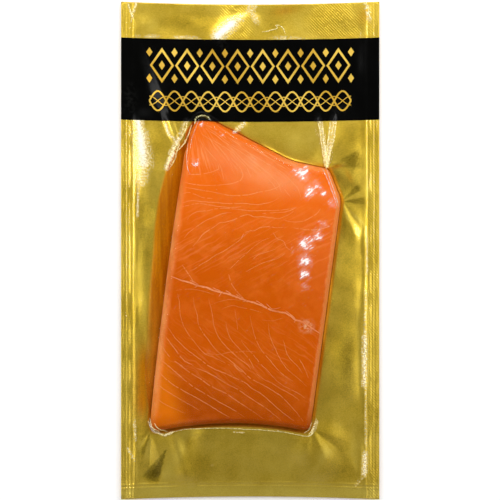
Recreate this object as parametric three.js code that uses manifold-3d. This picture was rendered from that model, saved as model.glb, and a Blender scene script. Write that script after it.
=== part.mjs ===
// A vacuum pack of smoked salmon: a gold foil back sheet, a cut of salmon lying on it, a clear
// front film drawn down tight over both, and a black band printed on the film.
// Millimetres. X runs across the pouch, Y towards its printed end and Z up, away from what it
// lies on. The origin is the middle of the pouch, on the surface under it.
import * as THREE from "three";
import Module from "manifold-3d";
import { mergeVertices } from "three/addons/utils/BufferGeometryUtils.js";

// Pouch
const POUCH_WIDTH = 150;
const POUCH_LENGTH = 289;
const END_BOW = 1.7; // how far the vacuum draws in the middle of each end
const SEAL_WIDTH = 6.5;
const SHEET = 0.4;
const FILM = 0.3;
const GAP = 0.2; // between two pieces that touch

// Black band, by the height of its edges up the pouch
const BAND_LOW = 76;
const BAND_HIGH = 123.7;
const BAND_BOW = 1.4;
const INK = 0.15;
const INK_GAP = 0.1;

// Cut of salmon, seen from above: where the lines of its edges meet, how much of each line the
// rounding there takes, and how far the edge after the corner bulges out, or in if negative
const SALMON_CORNERS = [
  { x: -29.5, y: 79.4, round: 5, bulge: 1 }, // thin tip
  { x: -37.9, y: 57.8, round: 6, bulge: 1.1 }, // top of the left edge
  { x: -58.6, y: -104.4, round: 6, bulge: -3 }, // lower left
  { x: 34.7, y: -104, round: 4, bulge: 0 }, // lower right
  { x: 52.6, y: 29.6, round: 3.5, bulge: 0 }, // right shoulder
  { x: 45.4, y: 47.2, round: 3, bulge: 0 }, // upper right
  { x: 23.7, y: 51.8, round: 6, bulge: 0 }, // slight dent in the upper edge
];
const HUB = new THREE.Vector2(-6, -26); // middle of the skins, well inside the salmon
const THICKNESS = 20.5;
const TIP_THINNER = 7;
const FOOT_THINNER = 3.5;
const WAIST = 0.42; // share of the height where the side stands out furthest
const SHOULDER = 0.93; // share of the height reached over the rounded rim
const RIM = 6.5;
const UNDERCUT = 2;
const CROWN_REACH = 34;

// Back sheet: flat under the salmon, dished up to a ridge round it, then falling to the seals
const RIDGE_HEIGHT = 4.6;
const SEAL_HEIGHT = 3.2;
const DISH_WIDTH = 5.5;
const LEFT_DISH_WIDTH = 15;
const DISH_TO_SEAL = 4; // least flat width between the dish and the side seal

// Film: how far outside the salmon it comes down, along the edges and at the corners
const LANDING = 1.3;
const FOOT_LANDING = 4.4;
const WEBS = [
  { x: -40, y: 66, out: 6, span: 14 },
  { x: 45, y: 46, out: 3, span: 8 },
  { x: 52, y: 29, out: 1.5, span: 6 },
  { x: 34, y: -103, out: 1.5, span: 7 },
  { x: -58, y: -103, out: 1, span: 7 },
];

// Facets
const CORNER_STEPS = 4;
const EDGE_STEP = 8.5;
const INNER_RINGS = [0.25, 0.5, 0.75, 1]; // shares of the way from the hub to the deepest inset
const DEEPEST_INSET = 12;
const RIM_INSETS = [6.5, 3.6, 1.5, 0.35];

const FINISHES = {
  foil: { color: 0xa58a35, metalness: 1, roughness: 0.28 },
  salmon: { color: 0xdf6f22, metalness: 0, roughness: 0.35 },
  film: { color: 0xf4f2ea, metalness: 0, roughness: 0.08, transparent: true, opacity: 0.2 },
  ink: { color: 0x0a0a0b, metalness: 0, roughness: 0.22 },
};

const wasm = await Module();
wasm.setup();

function smooth(low, high, value) {
  const share = THREE.MathUtils.clamp((value - low) / (high - low), 0, 1);
  return share * share * (3 - 2 * share);
}

function along(from, to, length) {
  return to.clone().sub(from).setLength(length).add(from);
}

// The corners of an outline moved out by a distance, or in if negative, as one rounded corner
// each: its point, and how much of each edge its rounding takes.
function offsetCorners(corners, distance) {
  const count = corners.length;
  const points = corners.map(({ x, y }) => new THREE.Vector2(x, y));
  return points.map((point, i) => {
    const before = point.clone().sub(points[(i + count - 1) % count]).normalize();
    const after = points[(i + 1) % count].clone().sub(point).normalize();
    const half = Math.tan(Math.atan2(before.cross(after), before.dot(after)) / 2);
    const miter = new THREE.Vector2(before.y + after.y, -before.x - after.x);
    miter.divideScalar(1 + before.dot(after));
    return {
      point: miter.multiplyScalar(distance).add(point),
      round: Math.max(corners[i].round + distance * half, corners[i].round * 0.2),
    };
  });
}

function onCurve(a, b, c, share) {
  return new THREE.QuadraticBezierCurve(a, b, c).getPoint(share);
}

// The point a share of the way round one corner, or along the edge after it, of an outline
// moved out by a distance.
function outlinePoint(corners, place, distance) {
  const all = offsetCorners(corners, distance);
  const count = corners.length;
  const here = all[place.corner];
  const last = all[(place.corner + count - 1) % count];
  const next = all[(place.corner + 1) % count];
  const leave = along(here.point, next.point, here.round);
  if (!place.onEdge) {
    const enter = along(here.point, last.point, here.round);
    return onCurve(enter, here.point, leave, place.share);
  }
  const arrive = along(next.point, here.point, next.round);
  const bulge = 2 * corners[place.corner].bulge;
  const direction = arrive.clone().sub(leave).normalize();
  const middle = leave.clone().add(arrive).multiplyScalar(0.5);
  middle.add(new THREE.Vector2(direction.y, -direction.x).multiplyScalar(bulge));
  return onCurve(leave, middle, arrive, place.share);
}

// The places round the salmon's edge where the skins have a line of facets.
function salmonPlaces() {
  const places = [];
  SALMON_CORNERS.forEach((corner, i) => {
    const next = SALMON_CORNERS[(i + 1) % SALMON_CORNERS.length];
    for (let k = 0; k < CORNER_STEPS; k += 1) {
      places.push({ corner: i, onEdge: false, share: k / CORNER_STEPS });
    }
    const steps = Math.ceil(Math.hypot(next.x - corner.x, next.y - corner.y) / EDGE_STEP);
    for (let k = 0; k < steps; k += 1) {
      places.push({ corner: i, onEdge: true, share: k / steps });
    }
  });
  return places;
}

// Where the line from the hub through a point leaves the pouch, inset from its edge. The ends
// of the pouch bow inwards.
function pouchPoint(towards, inset) {
  const x = POUCH_WIDTH / 2 - inset;
  const ray = towards.clone().sub(HUB);
  const side = (Math.sign(ray.x) * x - HUB.x) / ray.x;
  let end = side;
  for (let pass = 0; pass < 6; pass += 1) {
    const bow = END_BOW * (1 - ((HUB.x + ray.x * Math.min(end, side)) / x) ** 2);
    end = (Math.sign(ray.y) * (POUCH_LENGTH / 2 - inset - bow) - HUB.y) / ray.y;
  }
  return ray.multiplyScalar(Math.min(side, end)).add(HUB);
}

// How far outside the salmon's edge the film comes down, at a point of that edge.
function landingAt(point) {
  let out = LANDING + (FOOT_LANDING - LANDING) * smooth(-97, -101, point.y);
  for (const web of WEBS) {
    const away = Math.hypot(point.x - web.x, point.y - web.y) / web.span;
    out += web.out * Math.exp(-away * away);
  }
  return out;
}

// How far outside the salmon's edge the back sheet's dish ends, which is widest on the left.
function dishAt(point, landing) {
  const left = smooth(-24, -36, point.x) * smooth(66, 46, point.y) * smooth(-104, -88, point.y);
  const room = point.x + POUCH_WIDTH / 2 - SEAL_WIDTH - DISH_TO_SEAL;
  const widest = Math.min(LEFT_DISH_WIDTH, room);
  return Math.max(DISH_WIDTH + (widest - DISH_WIDTH) * left, landing + 1.5);
}

// A line from the hub out to the pouch's edge through one place on the salmon's edge. Distances
// along it are from the salmon's edge, outwards.
function makeSpoke(place) {
  const at = (distance) => outlinePoint(SALMON_CORNERS, place, distance);
  const rim = at(0);
  const landing = landingAt(rim);
  const ridge = dishAt(rim, landing);
  return {
    at,
    rim,
    landing,
    ridge,
    ridgePoint: at(ridge),
    sealPoint: pouchPoint(at(ridge), SEAL_WIDTH),
    edgePoint: pouchPoint(at(ridge), 0),
    innerPoint: at(-DEEPEST_INSET),
  };
}

// The spoke nearest each corner of the pouch ends exactly in it.
function reachPouchCorners(spokes) {
  for (const [x, y] of [[1, 1], [-1, 1], [-1, -1], [1, -1]]) {
    const corner = new THREE.Vector2((x * POUCH_WIDTH) / 2, (y * POUCH_LENGTH) / 2);
    const nearest = spokes.reduce((best, spoke) =>
      spoke.edgePoint.distanceTo(corner) < best.edgePoint.distanceTo(corner) ? spoke : best);
    nearest.edgePoint = corner;
    nearest.sealPoint = corner.clone().sub(new THREE.Vector2(x * SEAL_WIDTH, y * SEAL_WIDTH));
  }
}

const spokes = salmonPlaces().map(makeSpoke);
reachPouchCorners(spokes);

// The place on a spoke at a distance outside the salmon's edge.
function spotOn(spoke, distance) {
  if (distance < -DEEPEST_INSET) {
    const reach = spoke.innerPoint.distanceTo(HUB);
    return HUB.clone().lerp(spoke.innerPoint, 1 + (distance + DEEPEST_INSET) / reach);
  }
  if (distance <= spoke.ridge) return spoke.at(distance);
  const flange = spoke.ridgePoint.distanceTo(spoke.sealPoint);
  const past = distance - spoke.ridge;
  if (past <= flange) return spoke.ridgePoint.clone().lerp(spoke.sealPoint, past / flange);
  const seal = spoke.sealPoint.distanceTo(spoke.edgePoint);
  return spoke.sealPoint.clone().lerp(spoke.edgePoint, (past - flange) / seal);
}

// Height of the salmon's upper face above its base, a given distance in from its edge.
function salmonTop(spot, inset) {
  const thickness =
    THICKNESS - TIP_THINNER * smooth(5, 80, spot.y) - FOOT_THINNER * smooth(-45, -106, spot.y);
  const rounded = Math.sqrt(1 - (1 - Math.min(inset / RIM, 1)) ** 2);
  const crown = 1 - (1 - Math.min(inset / CROWN_REACH, 1)) ** 2;
  return thickness * (WAIST + (SHOULDER - WAIST) * rounded + (1 - SHOULDER) * crown);
}

const SALMON_BASE = SHEET + GAP;
const HUB_HEIGHT = SALMON_BASE + salmonTop(HUB, CROWN_REACH);

// A profile is a list of distances along a spoke and heights, from the hub outwards.
// This one is the salmon's upper face.
function upperFace(spoke) {
  const reach = spoke.innerPoint.distanceTo(HUB);
  const inner = INNER_RINGS.map((share) => DEEPEST_INSET + reach * (1 - share));
  return [...inner, ...RIM_INSETS].map((inset) => [
    -inset,
    SALMON_BASE + salmonTop(spotOn(spoke, -inset), inset),
  ]);
}

function salmonProfile(spoke) {
  const waist = salmonTop(spoke.rim, 0);
  const side = [0, 0.5, 0.86].map((share) => {
    const inset = UNDERCUT * (1 - Math.sqrt(1 - share * share));
    return [-inset, SALMON_BASE + waist * (1 - share)];
  });
  return [...upperFace(spoke), ...side, [-UNDERCUT, SALMON_BASE]];
}

// Top of the back sheet, a given distance outside the salmon's edge.
function sheetTop(spoke, distance) {
  if (distance < spoke.ridge) {
    return SHEET + (RIDGE_HEIGHT - SHEET) * Math.max(distance / spoke.ridge, 0) ** 2;
  }
  const share = (distance - spoke.ridge) / spoke.ridgePoint.distanceTo(spoke.sealPoint);
  return RIDGE_HEIGHT - (RIDGE_HEIGHT - SEAL_HEIGHT) * smooth(0, 1, share);
}

// The sheet from where the film comes down on it to the pouch's edge.
function flange(spoke) {
  const { landing, ridge } = spoke;
  const toSeal = spoke.ridgePoint.distanceTo(spoke.sealPoint);
  const toEdge = spoke.sealPoint.distanceTo(spoke.edgePoint);
  const out = [landing, THREE.MathUtils.lerp(landing, ridge, 0.55), ridge];
  out.push(ridge + toSeal * 0.5, ridge + toSeal, ridge + toSeal + toEdge);
  return out.map((distance) => [distance, sheetTop(spoke, distance)]);
}

function sheetProfile(spoke) {
  const half = spoke.landing / 2;
  const top = [[-UNDERCUT, SHEET], [half, sheetTop(spoke, half)], ...flange(spoke)];
  const under = top.map(([distance, z]) => [distance, z - SHEET]).reverse();
  return [...top, ...under];
}

// A profile moved out square to itself.
function thicken(profile, amount) {
  return profile.map(([distance, z], i) => {
    const before = profile[Math.max(i - 1, 0)];
    const after = profile[Math.min(i + 1, profile.length - 1)];
    const run = after[0] - before[0];
    const rise = after[1] - before[1];
    const length = Math.hypot(run, rise);
    return [distance - (rise / length) * amount, z + (run / length) * amount];
  });
}

// The film's inner face: over the salmon, down its side and out over the back sheet.
function filmFace(spoke) {
  const over = thicken(upperFace(spoke), GAP);
  const land = flange(spoke).map(([distance, z]) => [distance, z + GAP]);
  const top = over[over.length - 1][1];
  const wall = [0.42, 0.8].map((share) => [
    GAP * 1.5 + (spoke.landing - GAP) * share ** 2,
    THREE.MathUtils.lerp(top, land[0][1], share),
  ]);
  return [...over, ...wall, ...land];
}

function filmLayer(low, high) {
  return (spoke) => {
    const face = filmFace(spoke);
    return [...thicken(face, high), ...thicken(face, low).reverse()];
  };
}

// A closed skin round the hub, from a pole above it down to one below, through the profile on
// each spoke. Every four-sided face is split from its inner corner on one spoke to its outer
// corner on the next, so that two skins lying on each other have the same facets.
function skin(profileOn, topHeight, lowHeight) {
  const profiles = spokes.map(profileOn);
  const rings = profiles[0].length;
  const positions = [HUB.x, HUB.y, topHeight, HUB.x, HUB.y, lowHeight];
  spokes.forEach((spoke, i) => {
    for (const [distance, z] of profiles[i]) {
      const spot = spotOn(spoke, distance);
      positions.push(spot.x, spot.y, z);
    }
  });
  const index = [];
  const vertex = (i, ring) => 2 + (i % spokes.length) * rings + ring;
  for (let i = 0; i < spokes.length; i += 1) {
    index.push(0, vertex(i, 0), vertex(i + 1, 0));
    for (let k = 0; k + 1 < rings; k += 1) {
      const [a, b] = [vertex(i, k), vertex(i + 1, k)];
      const [c, d] = [vertex(i, k + 1), vertex(i + 1, k + 1)];
      const outward = profiles[i][k + 1][0] > profiles[i][k][0];
      index.push(...(outward ? [a, c, d, a, d, b] : [a, c, b, b, c, d]));
    }
    index.push(1, vertex(i + 1, rings - 1), vertex(i, rings - 1));
  }
  return new THREE.BufferGeometry()
    .setAttribute("position", new THREE.Float32BufferAttribute(positions, 3))
    .setIndex(index);
}

function solidOf(geometry) {
  const bare = geometry.clone();
  bare.deleteAttribute("normal");
  bare.deleteAttribute("uv");
  const merged = mergeVertices(bare, 1e-4);
  return new wasm.Manifold(
    new wasm.Mesh({
      numProp: 3,
      vertProperties: merged.attributes.position.array,
      triVerts: new Uint32Array(merged.index.array),
    }),
  );
}

function geometryOf(solid) {
  const { vertProperties, triVerts } = solid.getMesh();
  return new THREE.BufferGeometry()
    .setAttribute("position", new THREE.BufferAttribute(vertProperties, 3))
    .setIndex(new THREE.BufferAttribute(triVerts, 1));
}

// The ink lies on the film as one layer, cut to the band's outline.
function printBand() {
  const low = FILM + INK_GAP;
  const pole = HUB_HEIGHT + GAP + low;
  const layer = skin(filmLayer(low, low + INK), pole + INK, pole);
  const x = POUCH_WIDTH / 2 + 1;
  const outlineOfBand = new THREE.Shape();
  outlineOfBand.moveTo(-x, BAND_LOW);
  outlineOfBand.quadraticCurveTo(0, BAND_LOW - 2 * BAND_BOW, x, BAND_LOW);
  outlineOfBand.lineTo(x, BAND_HIGH);
  outlineOfBand.quadraticCurveTo(0, BAND_HIGH - 2 * BAND_BOW, -x, BAND_HIGH);
  outlineOfBand.closePath();
  const cutter = new THREE.ExtrudeGeometry(outlineOfBand, {
    depth: THICKNESS * 2,
    bevelEnabled: false,
    curveSegments: 8,
  });
  return geometryOf(solidOf(layer).intersect(solidOf(cutter)));
}

function piece(name, geometry, finish) {
  geometry.computeVertexNormals();
  const mesh = new THREE.Mesh(geometry, new THREE.MeshStandardMaterial(FINISHES[finish]));
  mesh.name = name;
  return mesh;
}

function frontFilm() {
  const pole = HUB_HEIGHT + GAP;
  return skin(filmLayer(0, FILM), pole + FILM, pole);
}

const pack = new THREE.Group();
pack.add(
  piece("gold_back_sheet", skin(sheetProfile, SHEET, 0), "foil"),
  piece("salmon_cut", skin(salmonProfile, HUB_HEIGHT, SALMON_BASE), "salmon"),
  piece("clear_front_film", frontFilm(), "film"),
  piece("black_print_band", printBand(), "ink"),
);

export default pack;
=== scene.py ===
"""A vacuum pack of smoked salmon, seen from straight above.

The gold back sheet, the cut of salmon and the clear film are skins that run out from one middle
point in rings, as the CAD solids do. They have much finer relief than the solids, and the
salmon's foot bows in a little more and the foil's dish is steeper. Lengths in the tables and
formulas are millimetres in the part's own frame, and meshes are metres.
"""
import math

import bpy
import numpy as np
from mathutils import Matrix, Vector
from mathutils.bvhtree import BVHTree


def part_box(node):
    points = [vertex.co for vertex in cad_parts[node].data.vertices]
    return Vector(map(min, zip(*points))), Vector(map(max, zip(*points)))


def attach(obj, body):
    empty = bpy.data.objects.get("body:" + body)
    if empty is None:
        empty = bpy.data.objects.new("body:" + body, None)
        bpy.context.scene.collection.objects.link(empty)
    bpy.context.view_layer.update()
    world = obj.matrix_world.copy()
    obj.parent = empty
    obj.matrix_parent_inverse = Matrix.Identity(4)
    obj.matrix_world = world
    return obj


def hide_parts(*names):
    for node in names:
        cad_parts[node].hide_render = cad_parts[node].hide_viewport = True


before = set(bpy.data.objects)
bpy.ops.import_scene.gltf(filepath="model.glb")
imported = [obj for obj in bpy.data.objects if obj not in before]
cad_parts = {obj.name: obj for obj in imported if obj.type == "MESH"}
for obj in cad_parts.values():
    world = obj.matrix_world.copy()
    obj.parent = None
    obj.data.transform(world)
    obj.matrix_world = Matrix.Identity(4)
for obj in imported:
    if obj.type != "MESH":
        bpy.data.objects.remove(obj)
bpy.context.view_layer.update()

MM = 0.001
FINE = 1.0
SPOKES = round(700 * FINE)
FACE_RINGS = round(30 * FINE)
FLANGE_RINGS = round(34 * FINE)
BAND_CELLS = (round(300 * FINE), round(96 * FINE))

# Pouch
SHEET_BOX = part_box("gold_back_sheet")
POUCH_WIDTH = (SHEET_BOX[1].x - SHEET_BOX[0].x) / MM
POUCH_LENGTH = (SHEET_BOX[1].y - SHEET_BOX[0].y) / MM
END_BOW = 1.7
SEAL_WIDTH = 6.5
SHEET = 0.4
GAP = 0.2
PRINT_LIFT = 0.12
BAND_LOW = 76.0
BAND_HIGH = 123.7
BAND_BOW = 1.4

# Cut of salmon: each corner, how far back on its edges its rounding starts, and how far the edge
# after it bulges
SALMON_CORNERS = np.array([
    (-29.5, 79.4, 5.0, 1.0),
    (-37.9, 57.8, 6.0, 1.1),
    (-58.6, -104.4, 6.0, -4.2),
    (34.7, -104.0, 4.0, 0.0),
    (52.6, 29.6, 3.5, 0.0),
    (45.4, 47.2, 3.0, 0.0),
    (23.7, 51.8, 6.0, 0.0),
])
FOOT_PLACE = 5
HUB = np.array((-6.0, -26.0))
THICKNESS = 20.5
TIP_THINNER = 7.0
TIP_SLOPE = (5, 80)
FOOT_THINNER = 3.5
FOOT_SLOPE = (-45, -106)
WAIST = 0.42
SHOULDER = 0.94
RIM = 3.8
LAST_RING = 0.35
UNDERCUT = 2.0
CROWN_REACH = 34.0
DEEPEST_INSET = 12.0
SALMON_BASE = SHEET + GAP

# Back sheet and film round the salmon
RIDGE_HEIGHT = 4.6
LEFT_RIDGE_DROP = 1.0
RIGHT_RIDGE_DROP = 0.8
SEAL_HEIGHT = 3.2
DISH_WIDTH = 0.4
LEFT_DISH_WIDTHS = (
    # height up the pouch, and how far the dish beside the salmon reaches there
    (-104, 0.5), (-94, 1.0), (-84, 3.5), (-73, 6.0), (-40, 8.2), (-23, 9.0), (0, 10.0),
    (11, 11.0), (29, 11.2), (46, 9.2), (60, 5.0),
)
LANDING = 0.7
FOOT_LANDING = 5.4
WEBS = (
    # a corner, how much further out the film lands there, and over what span
    (-40, 66, 6.0, 14),
    (45, 46, 1.5, 6),
    (52, 29, 0.5, 6),
    (34, -103, 0.5, 5),
    (-58, -103, 0.3, 5),
)


# Plain maths

def smooth(low, high, value):
    share = np.clip((value - low) / (high - low), 0, 1)
    return share * share * (3 - 2 * share)


def unit(vectors):
    return vectors / np.linalg.norm(vectors, axis=-1, keepdims=True)


def bell(value, width):
    return np.exp(-((value / width) ** 2))


def column(values):
    """One value for each spoke, to go with an array that has a row for each."""
    return values[:, None]


def plan(points):
    """The X and the Y of points."""
    return points[..., 0], points[..., 1]


def from_table(value, table):
    """The second number of a table's rows, where the first one has a value."""
    return np.interp(value, *np.array(table).T)


def cross(a, b):
    return a[..., 0] * b[..., 1] - a[..., 1] * b[..., 0]


def on_curve(a, b, c, share):
    return a * (1 - share) ** 2 + b * 2 * share * (1 - share) + c * share**2


class Outline:
    """The salmon's edge from above. A place on it is a number: its whole half is the corner, and
    it runs over the corner's rounding and then along the edge after it."""

    def __init__(self, corners):
        self.points = corners[:, :2]
        self.rounds = corners[:, 2]
        self.bulges = corners[:, 3]
        self.count = len(corners)
        before = unit(self.points - np.roll(self.points, 1, axis=0))
        after = unit(np.roll(self.points, -1, axis=0) - self.points)
        straight = (before * after).sum(axis=1)
        self.half = np.tan(np.arctan2(cross(before, after), straight) / 2)
        turned = np.stack([before[:, 1] + after[:, 1], -before[:, 0] - after[:, 0]], axis=1)
        self.miter = turned / column(1 + straight)

    def corner(self, index, distance):
        index = index % self.count
        point = self.points[index] + self.miter[index] * distance[..., None]
        least = self.rounds[index] * 0.2
        rounding = np.maximum(self.rounds[index] + distance * self.half[index], least)
        return point, rounding[..., None]

    def at(self, place, distance):
        """Points at places on the edge moved out by distances, in arrays of one shape."""
        place, distance = np.broadcast_arrays(place, distance)
        stretch = np.floor(place).astype(int)
        share = (place - stretch)[..., None]
        index = stretch // 2
        here, rounding = self.corner(index, distance)
        last, _ = self.corner(index - 1, distance)
        following, next_rounding = self.corner(index + 1, distance)
        leave = here + unit(following - here) * rounding
        enter = here + unit(last - here) * rounding
        arrive = following + unit(here - following) * next_rounding
        along = unit(arrive - leave)
        outward = np.stack([along[..., 1], -along[..., 0]], axis=-1)
        bulge = self.bulges[index % self.count][..., None]
        middle = (leave + arrive) / 2 + outward * 2 * bulge
        on_corner = on_curve(enter, here, leave, share)
        on_edge = on_curve(leave, middle, arrive, share)
        return np.where((stretch % 2 == 0)[..., None], on_corner, on_edge)

    def even_places(self, count, crowding):
        """Places round the edge, closer together where crowding(points) is above 1."""
        fine = np.linspace(0, 2 * self.count, 5601)
        points = self.at(np.minimum(fine, 2 * self.count - 1e-9), np.zeros(len(fine)))
        steps = np.linalg.norm(np.diff(points, axis=0), axis=1)
        weights = steps * crowding((points[1:] + points[:-1]) / 2)
        total = np.concatenate([[0], np.cumsum(weights)])
        return np.interp(np.arange(count) * total[-1] / count, total, fine)


SALMON_EDGE = Outline(SALMON_CORNERS)


def crowded_corners(points):
    """Spokes stand closer where creases run out from the corners of the cut."""
    crowding = np.ones(len(points))
    for x, y, _, span in WEBS:
        away = np.hypot(points[:, 0] - x, points[:, 1] - y)
        crowding += 1.2 * bell(away, span * 1.6)
    return crowding


def pouch_point(towards, inset):
    """Where lines from the hub through points leave the pouch, inset from its edge."""
    x = POUCH_WIDTH / 2 - inset
    ray = towards - HUB
    side = (np.sign(ray[:, 0]) * x - HUB[0]) / ray[:, 0]
    end = side
    for _ in range(6):
        reach = HUB[0] + ray[:, 0] * np.minimum(end, side)
        bow = END_BOW * (1 - (reach / x) ** 2)
        end = (np.sign(ray[:, 1]) * (POUCH_LENGTH / 2 - inset - bow) - HUB[1]) / ray[:, 1]
    return HUB + ray * column(np.minimum(side, end))


class Spokes:
    """Lines from the hub out to the pouch's edge. Distances along them are from the salmon's
    edge, outwards."""

    def __init__(self, count):
        self.place = SALMON_EDGE.even_places(count, crowded_corners)
        none = np.zeros(count)
        self.rim = SALMON_EDGE.at(self.place, none)
        past_foot = self.place - FOOT_PLACE
        foot = smooth(-1, 0.05, past_foot) * smooth(2, 0.95, past_foot)
        self.landing = self.landing_at(self.rim, foot)
        self.dish, self.ridge_height = self.dish_at(self.rim)
        self.ridge = np.maximum(self.dish, self.landing + 1)
        self.ridge_point = SALMON_EDGE.at(self.place, self.ridge)
        self.inner_point = SALMON_EDGE.at(self.place, none - DEEPEST_INSET)
        self.seal_point = pouch_point(self.ridge_point, SEAL_WIDTH)
        self.edge_point = pouch_point(self.ridge_point, 0)
        for x, y in ((1, 1), (-1, 1), (-1, -1), (1, -1)):
            corner = np.array((x * POUCH_WIDTH / 2, y * POUCH_LENGTH / 2))
            seal_corner = corner - np.array((x, y)) * SEAL_WIDTH
            for points, target in ((self.edge_point, corner), (self.seal_point, seal_corner)):
                points[np.argmin(np.linalg.norm(points - target, axis=1))] = target
        self.reach = np.linalg.norm(self.inner_point - HUB, axis=1)
        self.flange = np.linalg.norm(self.seal_point - self.ridge_point, axis=1)
        self.seal = np.linalg.norm(self.edge_point - self.seal_point, axis=1)

    @staticmethod
    def landing_at(rim, foot):
        out = LANDING + (FOOT_LANDING - LANDING) * foot
        for x, y, most, span in WEBS:
            out = out + most * bell(np.hypot(rim[:, 0] - x, rim[:, 1] - y), span)
        return out

    @staticmethod
    def dish_at(rim):
        left_side = smooth(-24, -36, rim[:, 0]) * smooth(66, 56, rim[:, 1])
        left = left_side * smooth(-104, -96, rim[:, 1])
        widest = from_table(rim[:, 1], LEFT_DISH_WIDTHS)
        upper_right = smooth(30, 44, rim[:, 0]) * smooth(0, 22, rim[:, 1])
        ridge_height = (
            RIDGE_HEIGHT - LEFT_RIDGE_DROP * left_side - RIGHT_RIDGE_DROP * upper_right
        )
        return DISH_WIDTH + (widest - DISH_WIDTH) * left, ridge_height

    def spots(self, distance):
        """Points on the spokes, from an array with one row of distances for each spoke."""
        past = distance - column(self.ridge)
        seal_past = past - column(self.flange)
        inner_share = 1 + (distance + DEEPEST_INSET) / column(self.reach)
        inner = HUB + column(self.inner_point - HUB) * inner_share[..., None]
        held = np.clip(distance, -DEEPEST_INSET, column(self.ridge))
        middle = SALMON_EDGE.at(column(self.place), held)
        out = column(self.seal_point - self.ridge_point)
        flange = column(self.ridge_point) + out * (past / column(self.flange))[..., None]
        rest = column(self.edge_point - self.seal_point)
        seal = column(self.seal_point) + rest * (seal_past / column(self.seal))[..., None]
        points = np.where((distance < -DEEPEST_INSET)[..., None], inner, middle)
        points = np.where((past > 0)[..., None], flange, points)
        return np.where((seal_past > 0)[..., None], seal, points)


def salmon_top(y, inset):
    """Height of the salmon's upper face above its base, up the pouch and in from its edge."""
    thickness = THICKNESS - TIP_THINNER * smooth(*TIP_SLOPE, y)
    thickness = thickness - FOOT_THINNER * smooth(*FOOT_SLOPE, y)
    rounded = np.sqrt(1 - (1 - np.clip(inset / RIM, 0, 1)) ** 2)
    crown = 1 - (1 - np.clip(inset / CROWN_REACH, 0, 1)) ** 2
    return thickness * (WAIST + (SHOULDER - WAIST) * rounded + (1 - SHOULDER) * crown)


def sheet_top(spokes, distance):
    """Height of the back sheet's upper face, before its creases."""
    share = np.clip(distance / column(spokes.dish), 0, 1)
    ridge_height = column(spokes.ridge_height)
    dish = SHEET + (ridge_height - SHEET) * share**0.5
    share = (distance - column(spokes.ridge)) / column(spokes.flange)
    return dish - (ridge_height - SEAL_HEIGHT) * np.clip(share, 0, 1) ** 1.2


# Lines laid on the salmon and the film: each has its width, then the points that it runs through

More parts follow.
